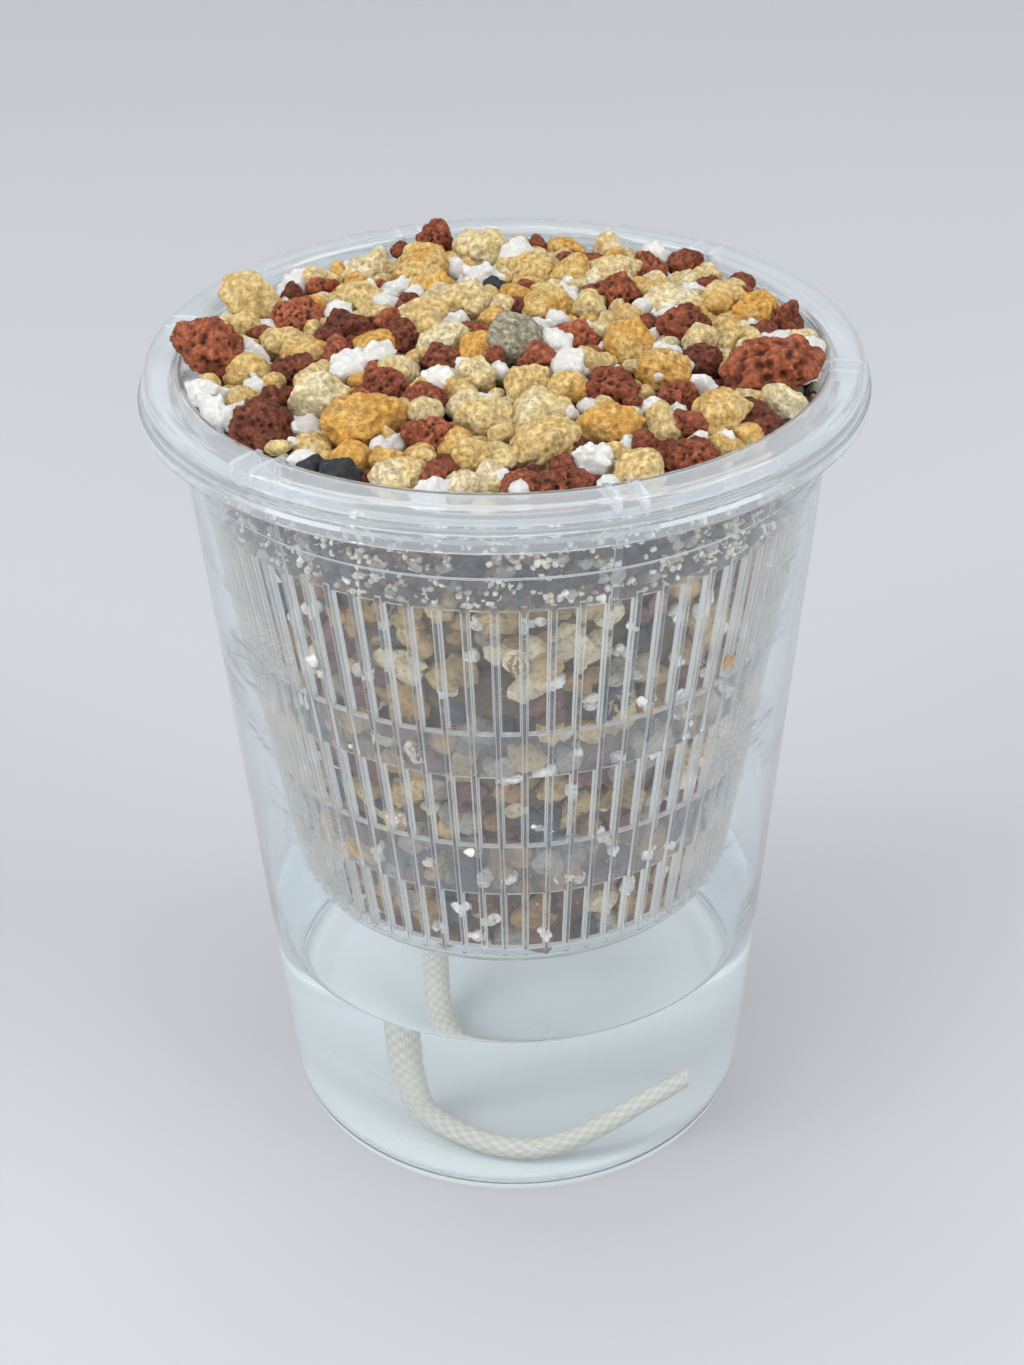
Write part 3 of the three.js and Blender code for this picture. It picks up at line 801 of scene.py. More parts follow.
@dataclass(frozen=True)
class Bar:
    """One bar of a grip station on the net pot, at the front before it is turned to its bearing."""

    across: float
    radius: float
    height: float
    sizes: Place
    lean: float = 0.0
    edge: float = 0.2

    def build(self, bm: BMesh, bearing: float) -> None:
        """Add the bar to a shape at a bearing in radians, with its edges rounded."""
        place = Matrix.Translation(Vector((self.across, -self.radius, self.height)) * MM)
        sizes = Matrix.Diagonal((*(size * MM for size in self.sizes), 1.0))
        lay = place @ Matrix.Rotation(self.lean, 4, "X") @ sizes
        box = bmesh.ops.create_cube(bm, size=1.0, matrix=Matrix.Rotation(bearing, 4, "Z") @ lay)
        edges = dict.fromkeys(edge for vert in box["verts"] for edge in vert.link_edges)
        bevelled(bm, list(edges), self.edge)


@dataclass
class NetPot:
    """The net pot: a ribbed, slotted wall under a hollow lip with grip stations."""

    top: float = 148.2
    lip_radius: float = 57.4
    lip_wall: float = 1.0
    lip_seat: float = 145.3
    lip_blend: float = 0.6
    neck_round: float = 0.5
    skirt_round: float = 0.6
    floor: float = 51.5
    floor_radius: float = 38.8
    mouth_radius: float = 52.1
    mouth_height: float = 145.0
    wall: float = 0.9
    neck_levels: tuple[float, float] = (134.0, 141.0)
    fillet: float = 1.5
    slots: int = 72
    tiers: tuple[Range, ...] = ((55.2, 68.2), (79.2, 94.2), (103.2, 127.2))
    web: float = 1.25
    rib: float = 0.8
    rib_proud: float = 0.5
    rib_overrun: float = 1.2
    corner: float = 0.16
    slack: float = 0.1
    web_slack: float = 0.12
    seam_share: float = 0.05
    drains: int = 18
    drain_reach: Range = (21.0, 33.0)
    stations: int = 6
    station_bearing: float = 18.0
    station_gap: float = 4.1
    stay_height: float = 134.2
    stay_proud: float = 0.05
    stay_sizes: Place = (1.2, 0.8, 14.0)
    grip_height: float = 144.7
    grip_sunk: float = 0.15
    grip_sizes: Place = (1.1, 0.9, 6.0)
    gusset_rise: float = 0.3
    gusset_bite: float = 0.4

    @property
    def pitch(self) -> float:
        """The turn from one rib to the next."""
        return FULL_TURN / self.slots

    @property
    def rib_span(self) -> Range:
        """The heights between which the ribs run."""
        return self.tiers[0][0] - self.rib_overrun, self.tiers[-1][1] + self.rib_overrun

    @property
    def under_lip(self) -> float:
        """The height of the hollow under the lip."""
        return self.top - self.lip_wall

    @property
    def skirt(self) -> float:
        """The inside radius of the lip's skirt."""
        return self.lip_radius - self.lip_wall

    def outside(self, z: float) -> float:
        """The wall's outside radius at a height."""
        flare = self.mouth_radius - self.floor_radius
        return self.floor_radius + flare * (z - self.floor) / (self.mouth_height - self.floor)

    def inside(self, z: float) -> float:
        """The wall's inside radius at a height."""
        return self.outside(z) - self.wall

    def profile(self) -> Profile:
        """The line of the underside, the wall's outside and the hollow of the lip, from the axis outwards."""
        floor, radius = self.floor, self.floor_radius
        heel = floor + self.fillet
        points = [(away, floor) for away in (0.0, *self.drain_reach)]
        points += rounded((radius - self.fillet, floor), (radius, floor), (self.outside(heel), heel), 4)
        start, end = self.rib_span
        levels = [start, *(z for tier in self.tiers for z in tier), end, *self.neck_levels]
        points += [(self.outside(z), z) for z in levels]
        under, skirt, turn = self.under_lip, self.skirt, self.skirt_round
        wall = self.outside(under)
        neck = under - self.neck_round
        points += rounded((self.outside(neck), neck), (wall, under), (wall + self.neck_round, under), 3)
        points += rounded((skirt - turn, under), (skirt, under), (skirt, under - turn), 3)
        return [*points, (skirt, self.lip_seat)]

    def _off_rib(self, point: Vector) -> float:
        """How far a point is turned from the nearest rib."""
        return (bearing_of(point) + FULL_TURN) % self.pitch - self.pitch / 2

    def sector(self) -> BMesh:
        """The stretch from one floor drain to the next, closed all round but where its neighbours join it."""
        bays = self.slots // self.drains
        middle = self.outside(sum(self.tiers[1]) / 2)
        web, rib = self.web / middle, self.rib / middle
        bearings = [-bays * self.pitch / 2]
        for bay in range(bays):
            centre = (bay + 0.5) * self.pitch + bearings[0]
            bearings += [centre + off for off in (-web / 2, -rib / 2, rib / 2, web / 2, self.pitch / 2)]
        bm = bmesh.new()
        line = [bm.verts.new(at_bearing(bearings[0], r, z) * MM) for r, z in self.profile()]
        geom = line + [bm.edges.new(pair) for pair in zip(line, line[1:])]
        for before, after in zip(bearings, bearings[1:]):
            geom = bmesh.ops.spin(bm, geom=geom, angle=after - before, steps=1, **ABOUT_AXIS)["geom_last"]
        welded(bm, WELD / 10)
        if max(bm.faces, key=lambda face: face.calc_center_median().z).normal.z > 0:
            bmesh.ops.reverse_faces(bm, faces=bm.faces)
        gone = [face for face in bm.faces if self._is_open(face.calc_center_median(), web / 2, rib / 2)]
        bmesh.ops.delete(bm, geom=gone, context="FACES")
        return self._walled(bm, -bearings[0], rib / 2)

    def _is_open(self, point: Vector, half_web: float, half_rib: float) -> bool:
        """Whether a point of the sheet lies in a slot or in the floor drain."""
        z, away = point.z / MM, point.xy.length / MM
        near, far = self.drain_reach
        slot = any(low < z < high for low, high in self.tiers) and abs(self._off_rib(point)) > half_web
        drain = near < away < far and abs(bearing_of(point)) < self.pitch / 2 - half_rib
        return slot or (drain and z < self.floor + self.wall)

    def _walled(self, bm: BMesh, half_turn: float, half_rib: float) -> BMesh:
        """Give the sheet its thickness, open it to its neighbours and raise the ribs on its outside.

        Args:
            bm: The sheet in metres.
            half_turn: Half the turn of the sector.
            half_rib: Half the turn of a rib.

        Returns:
            The sector in metres.
        """
        bmesh.ops.solidify(bm, geom=bm.faces[:], thickness=self.wall * MM)
        for vert in bm.verts:
            bearing = bearing_of(vert.co)
            if abs(abs(bearing) - half_turn) < self.pitch * self.seam_share:
                vert.co = at_bearing(math.copysign(half_turn, bearing), vert.co.xy.length, vert.co.z)

        def on_join(vert: BMVert) -> bool:
            """Whether a point lies where the next sector joins or on the axis."""
            return abs(abs(bearing_of(vert.co)) - half_turn) < 10 * TINY or vert.co.xy.length < TINY

        joins = [face for face in bm.faces if all(on_join(vert) for vert in face.verts)]
        bmesh.ops.delete(bm, geom=joins, context="FACES")
        low, high = self.rib_span

        def on_rib(point: Vector) -> bool:
            """Whether a point lies on the outside of the wall where a rib stands."""
            z = point.z / MM
            far = point.xy.length / MM > self.outside(z) - self.wall / 2
            return abs(self._off_rib(point)) < half_rib and low < z < high and far

        faces = [face for face in bm.faces if on_rib(face.calc_center_median())]
        raised = bmesh.ops.extrude_face_region(bm, geom=faces)["geom"]
        for vert in (item for item in raised if isinstance(item, BMVert)):
            vert.co += outward(vert.co) * self.rib_proud * MM
        bmesh.ops.delete(bm, geom=faces, context="FACES")
        # The rounded corners of the slots and ribs take the milky edge plastic, a painted glint
        for face in bevelled(bm, [edge for edge in bm.edges if self._is_corner(edge)], self.corner):
            face.material_index = 1
        return bm

    def _is_corner(self, edge: BMEdge) -> bool:
        """Whether an edge runs round the outside of a slot or along the top of a rib."""
        middle = (edge.verts[0].co + edge.verts[1].co) / 2
        z, away = middle.z / MM, middle.xy.length / MM
        in_tiers = self.tiers[0][0] - self.slack < z < self.tiers[-1][1] + self.slack
        if len(edge.link_faces) != 2 or not in_tiers:
            return False
        flat = [abs(face.normal.dot(outward(middle))) > FACING for face in edge.link_faces]
        proud = away - self.outside(z)
        off_rib = abs(self._off_rib(middle)) * away
        round_slot = abs(proud) < self.slack and off_rib > self.web / 2 - self.web_slack
        return flat[0] != flat[1] and (round_slot or proud > self.rib_proud - self.slack)

    def _takes_painted_glint(self, face: BMFace) -> bool:
        """Whether a face is a side of a slot or a rib or lies round the heel, all of which take the milky edge
        plastic as painted glints.
        """
        middle = face.calc_center_median()
        turned = Vector((-middle.y, middle.x, 0.0)).normalized()
        level = abs(face.normal.z) > FACING and middle.z > (self.tiers[0][0] - self.slack) * MM
        low = middle.z < (self.floor + self.fillet) * MM
        heel = low and middle.xy.length > (self.floor_radius - self.fillet) * MM
        return level or heel or abs(face.normal.dot(turned)) > FACING

    def add_stations(self, bm: BMesh) -> None:
        """Add the pairs of gussets under the lip and the grips and stay of the wall at each station."""
        wall = self.outside(self.under_lip)
        lean = math.atan((self.mouth_radius - self.floor_radius) / (self.mouth_height - self.floor))
        stay = self.outside(self.stay_height) + self.stay_proud
        grip = self.inside(self.grip_height) - self.grip_sunk
        gusset = (self.grip_sizes[0], self.skirt - wall + self.gusset_bite, self.under_lip - self.lip_seat)
        gusset_height = (self.lip_seat + self.under_lip) / 2 + self.gusset_rise
        bars = [Bar(0.0, stay, self.stay_height, self.stay_sizes, lean)]
        for side in (-self.station_gap / 2, self.station_gap / 2):
            bars.append(Bar(side, (wall + self.skirt) / 2, gusset_height, gusset))
            bars.append(Bar(side, grip, self.grip_height, self.grip_sizes, lean))
        for number in range(self.stations):
            for bar in bars:
                bar.build(bm, math.radians(self.station_bearing + 360 / self.stations * number))

    def build(self) -> None:
        """Make one sector, repeat it round the axis, and add the stations."""
        bm = self.sector()
        copies = self.drains - 1
        whole = bm.verts[:] + bm.edges[:] + bm.faces[:]
        turn = FULL_TURN * copies / self.drains
        bmesh.ops.spin(bm, geom=whole, angle=turn, steps=copies, use_duplicate=True, **ABOUT_AXIS)
        self.add_stations(welded(bm, WELD * 10))
        wall = ClearPlastic("net_pot_plastic", paint(247, 250, 252), 0.978, 0.0, 0.3, 0.25)
        # A milky white plastic on edges and sides stands in for their glints: painted highlight
        edges = ClearPlastic("net_pot_glint_edge_plastic", paint(238, 241, 240), 0.58, 0.02, 0.3)
        lip = ClearPlastic("net_pot_lip_plastic", paint(240, 245, 248), 0.8, 0.06, 0.28)
        plastics = (wall, edges, lip)
        for face in bm.faces:
            if face.calc_center_median().z > (self.lip_seat - self.lip_blend) * MM:
                face.material_index = plastics.index(lip)
            elif self._takes_painted_glint(face):
                face.material_index = plastics.index(edges)
        shell = finished(bm, "net_pot_shell", *(plastic.material() for plastic in plastics), crease=40.0)
        report(shell, "basket", "pot", "net_pot")


@dataclass
class Rope:
    """A round braided rope along a route of points in millimetres."""

    name: str
    route: Sequence[Place]
    diameter: float = 5.0
    plait: float = 2.7
    plaits_round: int = 7
    plait_curve: float = 0.6
    relief: float = 0.06
    sides: int = 42
    ring_step: float = 0.34

    def path(self) -> list[Vector]:
        """Closely spaced points along a smooth curve through the route, in metres."""
        points = [Vector(p) * MM for p in self.route]
        ends = [2 * points[0] - points[1], *points, 2 * points[-1] - points[-2]]
        fine: list[Vector] = []
        for a, b, c, d in zip(ends, ends[1:], ends[2:], ends[3:]):
            knots = [0.0]
            for p, q in ((a, b), (b, c), (c, d)):
                knots.append(knots[-1] + math.sqrt((q - p).length))
            steps = max(2, round((c - b).length / MM))
            for step in range(steps):
                t = knots[1] + (knots[2] - knots[1]) * step / steps
                fine.append(self._blended((a, b, c, d), knots, t))
        return [*fine, points[-1]]

    @staticmethod
    def _blended(points: Sequence[Vector], knots: Sequence[float], t: float) -> Vector:
        """A point of the smooth curve through four points at a knot value."""
        level = list(points)
        for order in (1, 2, 3):
            for i in range(4 - order):
                low, high = (knots[i], knots[i + order]) if order < 3 else (knots[1], knots[2])
                share = (t - low) / (high - low)
                level[i] = level[i] * (1 - share) + level[i + 1] * share
        return level[0]

    def build(self, material: Material) -> Object:
        """Lay a fine grid along the path, plait its surface and close its ends."""
        path = self.path()
        marks = [0.0]
        for before, after in zip(path, path[1:]):
            marks.append(marks[-1] + (after - before).length)
        length, plait = marks[-1], self.plait * MM
        rings = round(length / (self.ring_step * MM))
        frames = self._frames(path, marks, rings)
        bm = bmesh.new()
        crown = bm.verts.layers.float.new("crown")
        uv = bm.loops.layers.uv.new("along")
        bmesh.ops.create_grid(bm, x_segments=self.sides, y_segments=rings, size=0.5)
        for face in bm.faces:
            for loop in face.loops:
                loop[uv].uv = (loop.vert.co.x + 0.5, (loop.vert.co.y + 0.5) * length / plait)
        for vert in bm.verts:
            turn = (vert.co.x + 0.5) * FULL_TURN
            ring = round((vert.co.y + 0.5) * rings)
            along = length * ring / rings
            wave = math.cos(self.plaits_round * turn) * math.cos(FULL_TURN * along / plait)
            lift = math.copysign(abs(wave) ** self.plait_curve, wave)
            radius = self.diameter / 2 * MM * (1 - self.relief / 2 + self.relief / 2 * lift)
            middle, right, over = frames[ring]
            # How high the plait stands here, which the yarn's material turns into painted shade in its valleys
            vert[crown] = (lift + 1) / 2
            vert.co = middle + (right * math.cos(turn) + over * math.sin(turn)) * radius
        bmesh.ops.remove_doubles(bm, verts=bm.verts, dist=WELD)
        bmesh.ops.holes_fill(bm, edges=[edge for edge in bm.edges if edge.is_boundary], sides=0)
        bmesh.ops.recalc_face_normals(bm, faces=bm.faces)
        return finished(bm, self.name, material, crease=60.0)

    @staticmethod
    def _frames(
        path: Sequence[Vector], marks: Sequence[float], rings: int,
    ) -> list[tuple[Vector, Vector, Vector]]:
        """Where each ring of the rope lies.

        Args:
            path: Points along the rope.
            marks: How far along the rope each point is.
            rings: How many steps the rope is divided into.

        Returns:
            The middle of each ring and two directions across the rope there, turned as little as can be.
        """
        frames = []
        index = 0
        right = Vector((1.0, 0.0, 0.0))
        for ring in range(rings + 1):
            along = marks[-1] * ring / rings
            while index < len(marks) - 2 and marks[index + 1] < along:
                index += 1
            share = (along - marks[index]) / (marks[index + 1] - marks[index])
            middle = path[index].lerp(path[index + 1], share)
            ahead = (path[min(index + 2, len(path) - 1)] - path[max(index - 1, 0)]).normalized()
            right = (right - ahead * right.dot(ahead)).normalized()
            frames.append((middle, right.copy(), ahead.cross(right)))
        return frames


@dataclass
class Wick:
    """The rope wick: buried in the mix, then hanging into the water and lying on the cup's floor."""

    tail: tuple[Place, ...] = (
        (-15.2, -5.0, 51.35), (-15.2, -5.0, 41.5), (-15.2, -5.0, 27.3), (-15.2, -5.6, 17.2),
        (-15.0, -8.8, 9.4), (-14.3, -14.0, 5.6), (-12.5, -19.2, 5.0), (-9.2, -24.4, 5.0),
        (-4.4, -28.8, 5.0), (1.0, -31.0, 5.0), (6.7, -32.2, 6.7), (13.5, -32.3, 10.1),
        (20.5, -31.2, 13.7), (25.0, -29.6, 14.8), (29.4, -27.6, 15.3),
    )
    buried: tuple[Place, ...] = (
        (-15.2, -5.0, 51.65), (-15.2, -5.0, 63.0), (-10.7, -3.5, 74.5), (-6.2, -2.0, 97.5),
    )

    def build(self) -> None:
        # The second colour is the painted shade in the valleys between the plaits
        yarn = Yarn("wick_yarn", paint(242, 241, 230), paint(214, 213, 200)).material()
        rope = Rope("wick_rope", self.tail)
        free = report(rope.build(yarn), "basket", "wick", "wick_tail")
        report(Rope("wick_rope_buried", self.buried).build(yarn), "basket", "wick", "wick_buried")


class Kind(Enum):
    """The kinds of loose stones, with the name that their solids start with."""

    PUMICE = "pumice"
    LAVA = "lava"
    PERLITE = "perlite"
    CHARCOAL = "charcoal"
    GRANITE = "granite"

    @property
    def nodes(self) -> list[str]:
        """The names of the solids of this kind."""
        return sorted(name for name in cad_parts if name.startswith(f"{self.value}_"))


FINISHES = {
    Kind.PUMICE: Mineral(
        "pumice_stone",
        (
            (0.0, paint(246, 233, 192)), (0.2, paint(240, 217, 158)), (0.75, paint(235, 200, 128)),
            (1.0, paint(230, 176, 88)),
        ),
        dark=paint(120, 84, 44), dark_share=0.2, pale=paint(244, 234, 204), pale_share=0.35, pore_depth=0.45,
        pit=paint(150, 108, 56), pore_shade=0.48, hollow_shade=0.32,
    ),
    Kind.LAVA: Mineral(
        "lava_stone",
        ((0.0, paint(126, 68, 46)), (0.5, paint(168, 90, 60)), (1.0, paint(204, 117, 80))),
        dark=paint(56, 30, 22), dark_share=0.6, pale=paint(206, 138, 106), pale_share=0.4, pore_depth=0.65,
        pit=paint(84, 60, 52), pore_shade=0.62, hollow_shade=0.72,
    ),
    Kind.PERLITE: Mineral(
        "perlite_stone",
        ((0.0, paint(237, 236, 232)), (1.0, paint(249, 248, 244))),
        dark=paint(210, 209, 205), dark_share=0.4, pale=paint(248, 247, 244), pale_share=0.5, pore_depth=0.2,
        pit=paint(176, 176, 178), pore_shade=0.15, hollow_shade=0.3,
    ),
    Kind.CHARCOAL: Mineral(
        "charcoal_stone",
        ((0.0, paint(40, 42, 46)), (1.0, paint(64, 67, 72))),
        dark=paint(18, 19, 22), dark_share=0.6, pale=paint(104, 108, 114), pale_share=0.4, pore_depth=0.25,
        pit=paint(110, 110, 112), pore_shade=0.4, hollow_shade=0.4, roughness=0.7,
    ),
    Kind.GRANITE: Mineral(
        "granite_stone",
        ((0.0, paint(178, 170, 146)), (0.5, paint(200, 191, 164)), (1.0, paint(220, 211, 186))),
        dark=paint(48, 46, 42), dark_share=0.95, pale=paint(236, 230, 214), pale_share=0.9, pore_depth=0.8,
        pit=paint(96, 92, 84), pore_shade=0.5, hollow_shade=0.35,
    ),
}


@dataclass(frozen=True)
class Roughcast:
    """How a kind of stone departs from its plain form, as shares of its size."""

    rounding: int
    swell: float
    swell_scale: float
    lump: float
    lump_scale: float
    pit: float
    pit_scale: float
    pit_reach: float = 0.42
    pit_curve: float = 0.7
    lump_noise: tuple[float, float, int] = (0.8, 2.0, 4)
    # How much the painted shade is lessened on the lumps
    lump_light: float = 0.5

    def relief(self, place: Vector) -> tuple[float, float]:
        """How far the stone stands out at a place on it, and how much painted shade it takes there: most in its
        dents, or between the bumps of perlite, and less on its lumps.
        """
        swell = noise.noise(place * self.swell_scale) * self.swell
        lump = noise.fractal(place * self.lump_scale, *self.lump_noise) * self.lump
        near = noise.voronoi(place * self.pit_scale)[0][0]
        dent = max(0.0, 1 - (near / self.pit_reach) ** 2) ** self.pit_curve
        hollow = (dent if self.pit > 0 else 1 - dent) - self.lump_light * lump / self.lump
        return swell + lump - dent * self.pit, hollow


ROUGHCASTS = {
    Kind.PUMICE: Roughcast(2, 0.11, 1.6, 0.06, 3.2, 0.06, 4.4),
    Kind.LAVA: Roughcast(1, 0.12, 1.8, 0.08, 3.6, 0.11, 4.6),
    Kind.PERLITE: Roughcast(3, 0.1, 1.9, 0.02, 2.6, -0.16, 2.2),
    Kind.CHARCOAL: Roughcast(1, 0.1, 1.9, 0.08, 3.4, 0.06, 3.6),
    Kind.GRANITE: Roughcast(2, 0.08, 1.4, 0.04, 3.5, 0.03, 4.5),
}


# Smaller stones between the solids: kind, bearing in degrees, distance from the axis, width and height
SMALL_STONES = (
    (Kind.PUMICE, -136, 48.2, 5.2, 5.2), (Kind.LAVA, -87, 26.8, 7.0, 4.8), (Kind.PUMICE, -96, 43.5, 6.5, 4.1),
    (Kind.LAVA, -60, 40.0, 5.2, 5.8), (Kind.CHARCOAL, -37, 47.0, 3.2, 3.2),
    (Kind.PUMICE, -25, 41.3, 5.2, 4.1), (Kind.LAVA, -30, 23.6, 5.8, 4.9),
    (Kind.PUMICE, -12, 35.1, 5.0, 4.3), (Kind.LAVA, -13, 44.9, 5.1, 4.1),
    (Kind.PUMICE, -8, 46.0, 4.4, 3.4), (Kind.PUMICE, -2, 36.6, 5.2, 3.9), (Kind.PUMICE, 13, 25.4, 6.6, 5.1),
    (Kind.LAVA, 2, 45.3, 5.7, 2.8), (Kind.PUMICE, 39, 36.8, 6.6, 5.4), (Kind.PERLITE, 40, 44.0, 3.7, 3.7),
    (Kind.PUMICE, 50, 47.0, 4.0, 3.3), (Kind.PUMICE, 44, 48.7, 6.4, 3.5), (Kind.PERLITE, 62, 34.5, 3.7, 4.9),
    (Kind.LAVA, -59, 11.8, 5.4, 4.7), (Kind.PUMICE, -149, 21.1, 6.1, 5.0),
    (Kind.CHARCOAL, -178, 25.1, 4.1, 2.6), (Kind.PUMICE, 172, 19.3, 7.4, 5.1),
    (Kind.PUMICE, 159, 32.5, 6.6, 6.2), (Kind.LAVA, 143, 42.9, 5.6, 5.2), (Kind.PUMICE, 100, 36.0, 6.2, 4.6),
    (Kind.PUMICE, 120, 43.7, 7.5, 5.1), (Kind.LAVA, 98, 48.2, 3.9, 3.6), (Kind.PERLITE, 92, 43.8, 7.7, 2.7),
    (Kind.LAVA, 56, 49.5, 7.2, 4.0), (Kind.PUMICE, 90, 49.7, 4.3, 3.2), (Kind.PUMICE, 171, 34.8, 7.7, 5.2),
    (Kind.LAVA, -127, 45.3, 4.6, 4.1), (Kind.LAVA, -134, 43.2, 3.8, 3.8),
)

# What the stones and the crumbs that fill the bed may be, the common kinds named more often
FILLER_KINDS = (Kind.PUMICE, Kind.PUMICE, Kind.LAVA, Kind.PUMICE, Kind.PERLITE)
CRUMB_KINDS = (Kind.PERLITE, Kind.PERLITE, Kind.PERLITE, Kind.PUMICE, Kind.LAVA)


@dataclass
class StoneBed:
    """The loose stones on the grit."""

    pot: NetPot
    edge: float = 142.2
    crown: float = 2.6
    wall_gap: float = 0.9
    stone_gap: float = 0.25
    free_above: float = 0.2
    half_share: float = 0.66
    small_lift: float = 2.6
    small_overhang: float = 0.8
    small_depths: Range = (0.7, 0.95)
    chip_sides: int = 13
    chip_tilt: float = 0.5
    chip_reach: float = 1.2
    chip_cuts: Range = (0.66, 1.0)
    noise_span: float = 50.0
    closeness: float = 0.56
    rim_stones: int = 80
    rim_strew: float = 0.3
    rim_insets: Range = (1.2, 2.6)
    rim_lifts: Range = (2.6, 4.8)
    rim_sizes: Range = (2.2, 3.9)
    fillers: int = 230
    filler_tries: int = 40
    filler_inset: float = 2.5
    filler_lifts: Range = (1.0, 3.8)
    filler_sizes: Range = (2.1, 4.4)
    filler_form: tuple[Range, Range] = ((0.65, 0.95), (0.6, 0.9))
    crumbs: int = 130
    crumb_lifts: Range = (0.6, 4.0)
    crumb_sizes: Range = (1.0, 2.4)
    crumb_form: tuple[Range, Range] = ((0.7, 1.0), (0.7, 1.0))
    seed: int = 11
    fine_level: int = 5
    small_level: int = 4
    crumb_level: int = 3
    crumb_limit: float = 3.0

    def __post_init__(self) -> None:
        """Start the random draws, and two heaps for each kind: its solids and its loose chips."""
        self.random = random.Random(self.seed)
        self.draw = self.random.uniform
        self.stones = {kind: Heap() for kind in Kind}
        self.chips = {kind: Heap() for kind in Kind}
        self.taken: list[tuple[Vector, float]] = []

    @property
    def radius(self) -> float:
        """The radius of the bed in millimetres."""
        return self.pot.inside(self.edge) - self.wall_gap

    def surface(self, away: float) -> float:
        """The height of the grit at a distance from the axis, in millimetres."""
        return self.edge + self.crown * (1 - (away / self.radius) ** 2)

    def add_solid(self, kind: Kind, node: str) -> None:
        """Add the fine form of one solid: a ball drawn onto its hull, rounded and roughened."""
        source = bmesh.new()
        source.from_mesh(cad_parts[node].data)
        bmesh.ops.remove_doubles(source, verts=source.verts, dist=WELD)
        middle = sum((v.co for v in source.verts), Vector()) / len(source.verts)
        hull = BVHTree.FromBMesh(source)
        size = max((v.co - middle).length for v in source.verts)
        source.free()

        def onto_hull(direction: Vector) -> Vector:
            """Where a direction from the middle meets the hull."""
            hit = hull.ray_cast(middle + direction * 2 * size, -direction)[0]
            return hit if hit is not None else middle + direction * size / 2

        self.stones[kind].add(self._roughened(kind, middle, size, onto_hull, self.fine_level))
        self.taken.append((middle / MM, size / MM))

    def add_loose(self, kind: Kind, middle: Vector, half: Vector, level: int) -> None:
        """Add a stone that no solid stands for: a turned chip with flat sides, roughened.

        Args:
            kind: What the stone is.
            middle: Its middle in millimetres.
            half: Its half sizes in millimetres.
            level: How finely it is divided.
        """
        draw = self.draw
        spin = Matrix.Rotation(draw(0, FULL_TURN), 3, "Z")
        turn = spin @ Matrix.Rotation(draw(-self.chip_tilt, self.chip_tilt), 3, "X")
        sides = []
        for _ in range(self.chip_sides):
            side = Vector((draw(-1, 1), draw(-1, 1), draw(-1, 1))).normalized()
            sides.append((side, draw(*self.chip_cuts)))

        def onto_chip(direction: Vector) -> Vector:
            """Where a direction from the middle meets the nearest side."""
            scaled = Vector((part / size for part, size in zip(turn @ direction, half)))
            reach = self.chip_reach / scaled.length
            for side, far in sides:
                reach = min(reach, far / max(TINY, side.dot(scaled)))
            return (middle + direction * reach) * MM

        self.chips[kind].add(self._roughened(kind, middle * MM, max(half) * MM, onto_chip, level))

    def _roughened(
        self, kind: Kind, middle: Vector, size: float, onto: Callable[[Vector], Vector], level: int,
    ) -> BMesh:
        """A ball drawn onto a form, rounded and roughened in the way of its kind.

        Args:
            kind: What the stone is.
            middle: Its middle in metres.
            size: Its reach from the middle in metres.
            onto: Where a direction from the middle meets the form.
            level: How finely the ball is divided.

        Returns:
            The stone in metres.
        """
        bm = bmesh.new()
        cast = ROUGHCASTS[kind]
        layer = bm.verts.layers.float.new("tone")
        hollow = bm.verts.layers.float.new("hollow")
        verts = bmesh.ops.create_icosphere(bm, subdivisions=level, radius=1.0)["verts"]
        tone = self.random.random()
        shift = Vector((self.draw(-self.noise_span, self.noise_span) for _ in range(3)))
        for vert in verts:
            vert.co = onto(vert.co.normalized())
            vert[layer] = tone
        every_way = {f"use_axis_{axis}": True for axis in "xyz"}
        for _ in range(cast.rounding):
            bmesh.ops.smooth_vert(bm, verts=verts, factor=0.5, **every_way)
        for vert in verts:
            local = (vert.co - middle) / size
            # The hollow layer holds how much painted shade the stone's material lays on this point
            proud, vert[hollow] = cast.relief(local + shift)
            vert.co = self._inside_pot(vert.co + local.normalized() * proud * size)
        return bm

    def _inside_pot(self, point: Vector) -> Vector:
        """A point drawn in from the pot's wall below the lip's top, and down to the highest solid's top."""
        limit = (self.pot.inside(point.z / MM) - self.stone_gap) * MM
        free = point.z > (self.pot.top + self.free_above) * MM
        share = 1.0 if free else min(1.0, limit / max(point.xy.length, MM))
        return Vector((point.x * share, point.y * share, min(point.z, CAD_BOX[1][2])))

    def _spot(self, inset: float) -> tuple[float, float, float]:
        """A random bearing, distance and height on the bed."""
        bearing = self.draw(0, FULL_TURN)
        away = math.sqrt(self.random.random()) * (self.radius - inset)
        return bearing, away, self.surface(away)

    def _is_open(self, spot: Vector, size: float) -> bool:
        """Whether a stone of some size would lie mostly outside the stones that are there."""
        return all(
            (spot.xy - other.xy).length > self.closeness * (size + reach) for other, reach in self.taken
        )

    def _half(self, size: float, form: tuple[Range, Range]) -> Vector:
        """Random half sizes of a stone, as shares of its largest one."""
        return Vector((size, *(size * self.draw(*shares) for shares in form)))

    def _drop(self, middle: Vector, sizes: Range) -> bool:
        """Lay a loose stone of a random kind and size where there is room for it.

        Args:
            middle: Its middle in millimetres.
            sizes: Its smallest and its largest half size.

        Returns:
            Whether there was room.
        """
        size = self.draw(*sizes)
        half = self._half(size, self.filler_form)
        if not self._is_open(middle, size):
            return False
        level = self.small_level if size > self.crumb_limit else self.crumb_level
        self.add_loose(self.random.choice(FILLER_KINDS), middle, half, level)
        self.taken.append((middle, size))
        return True

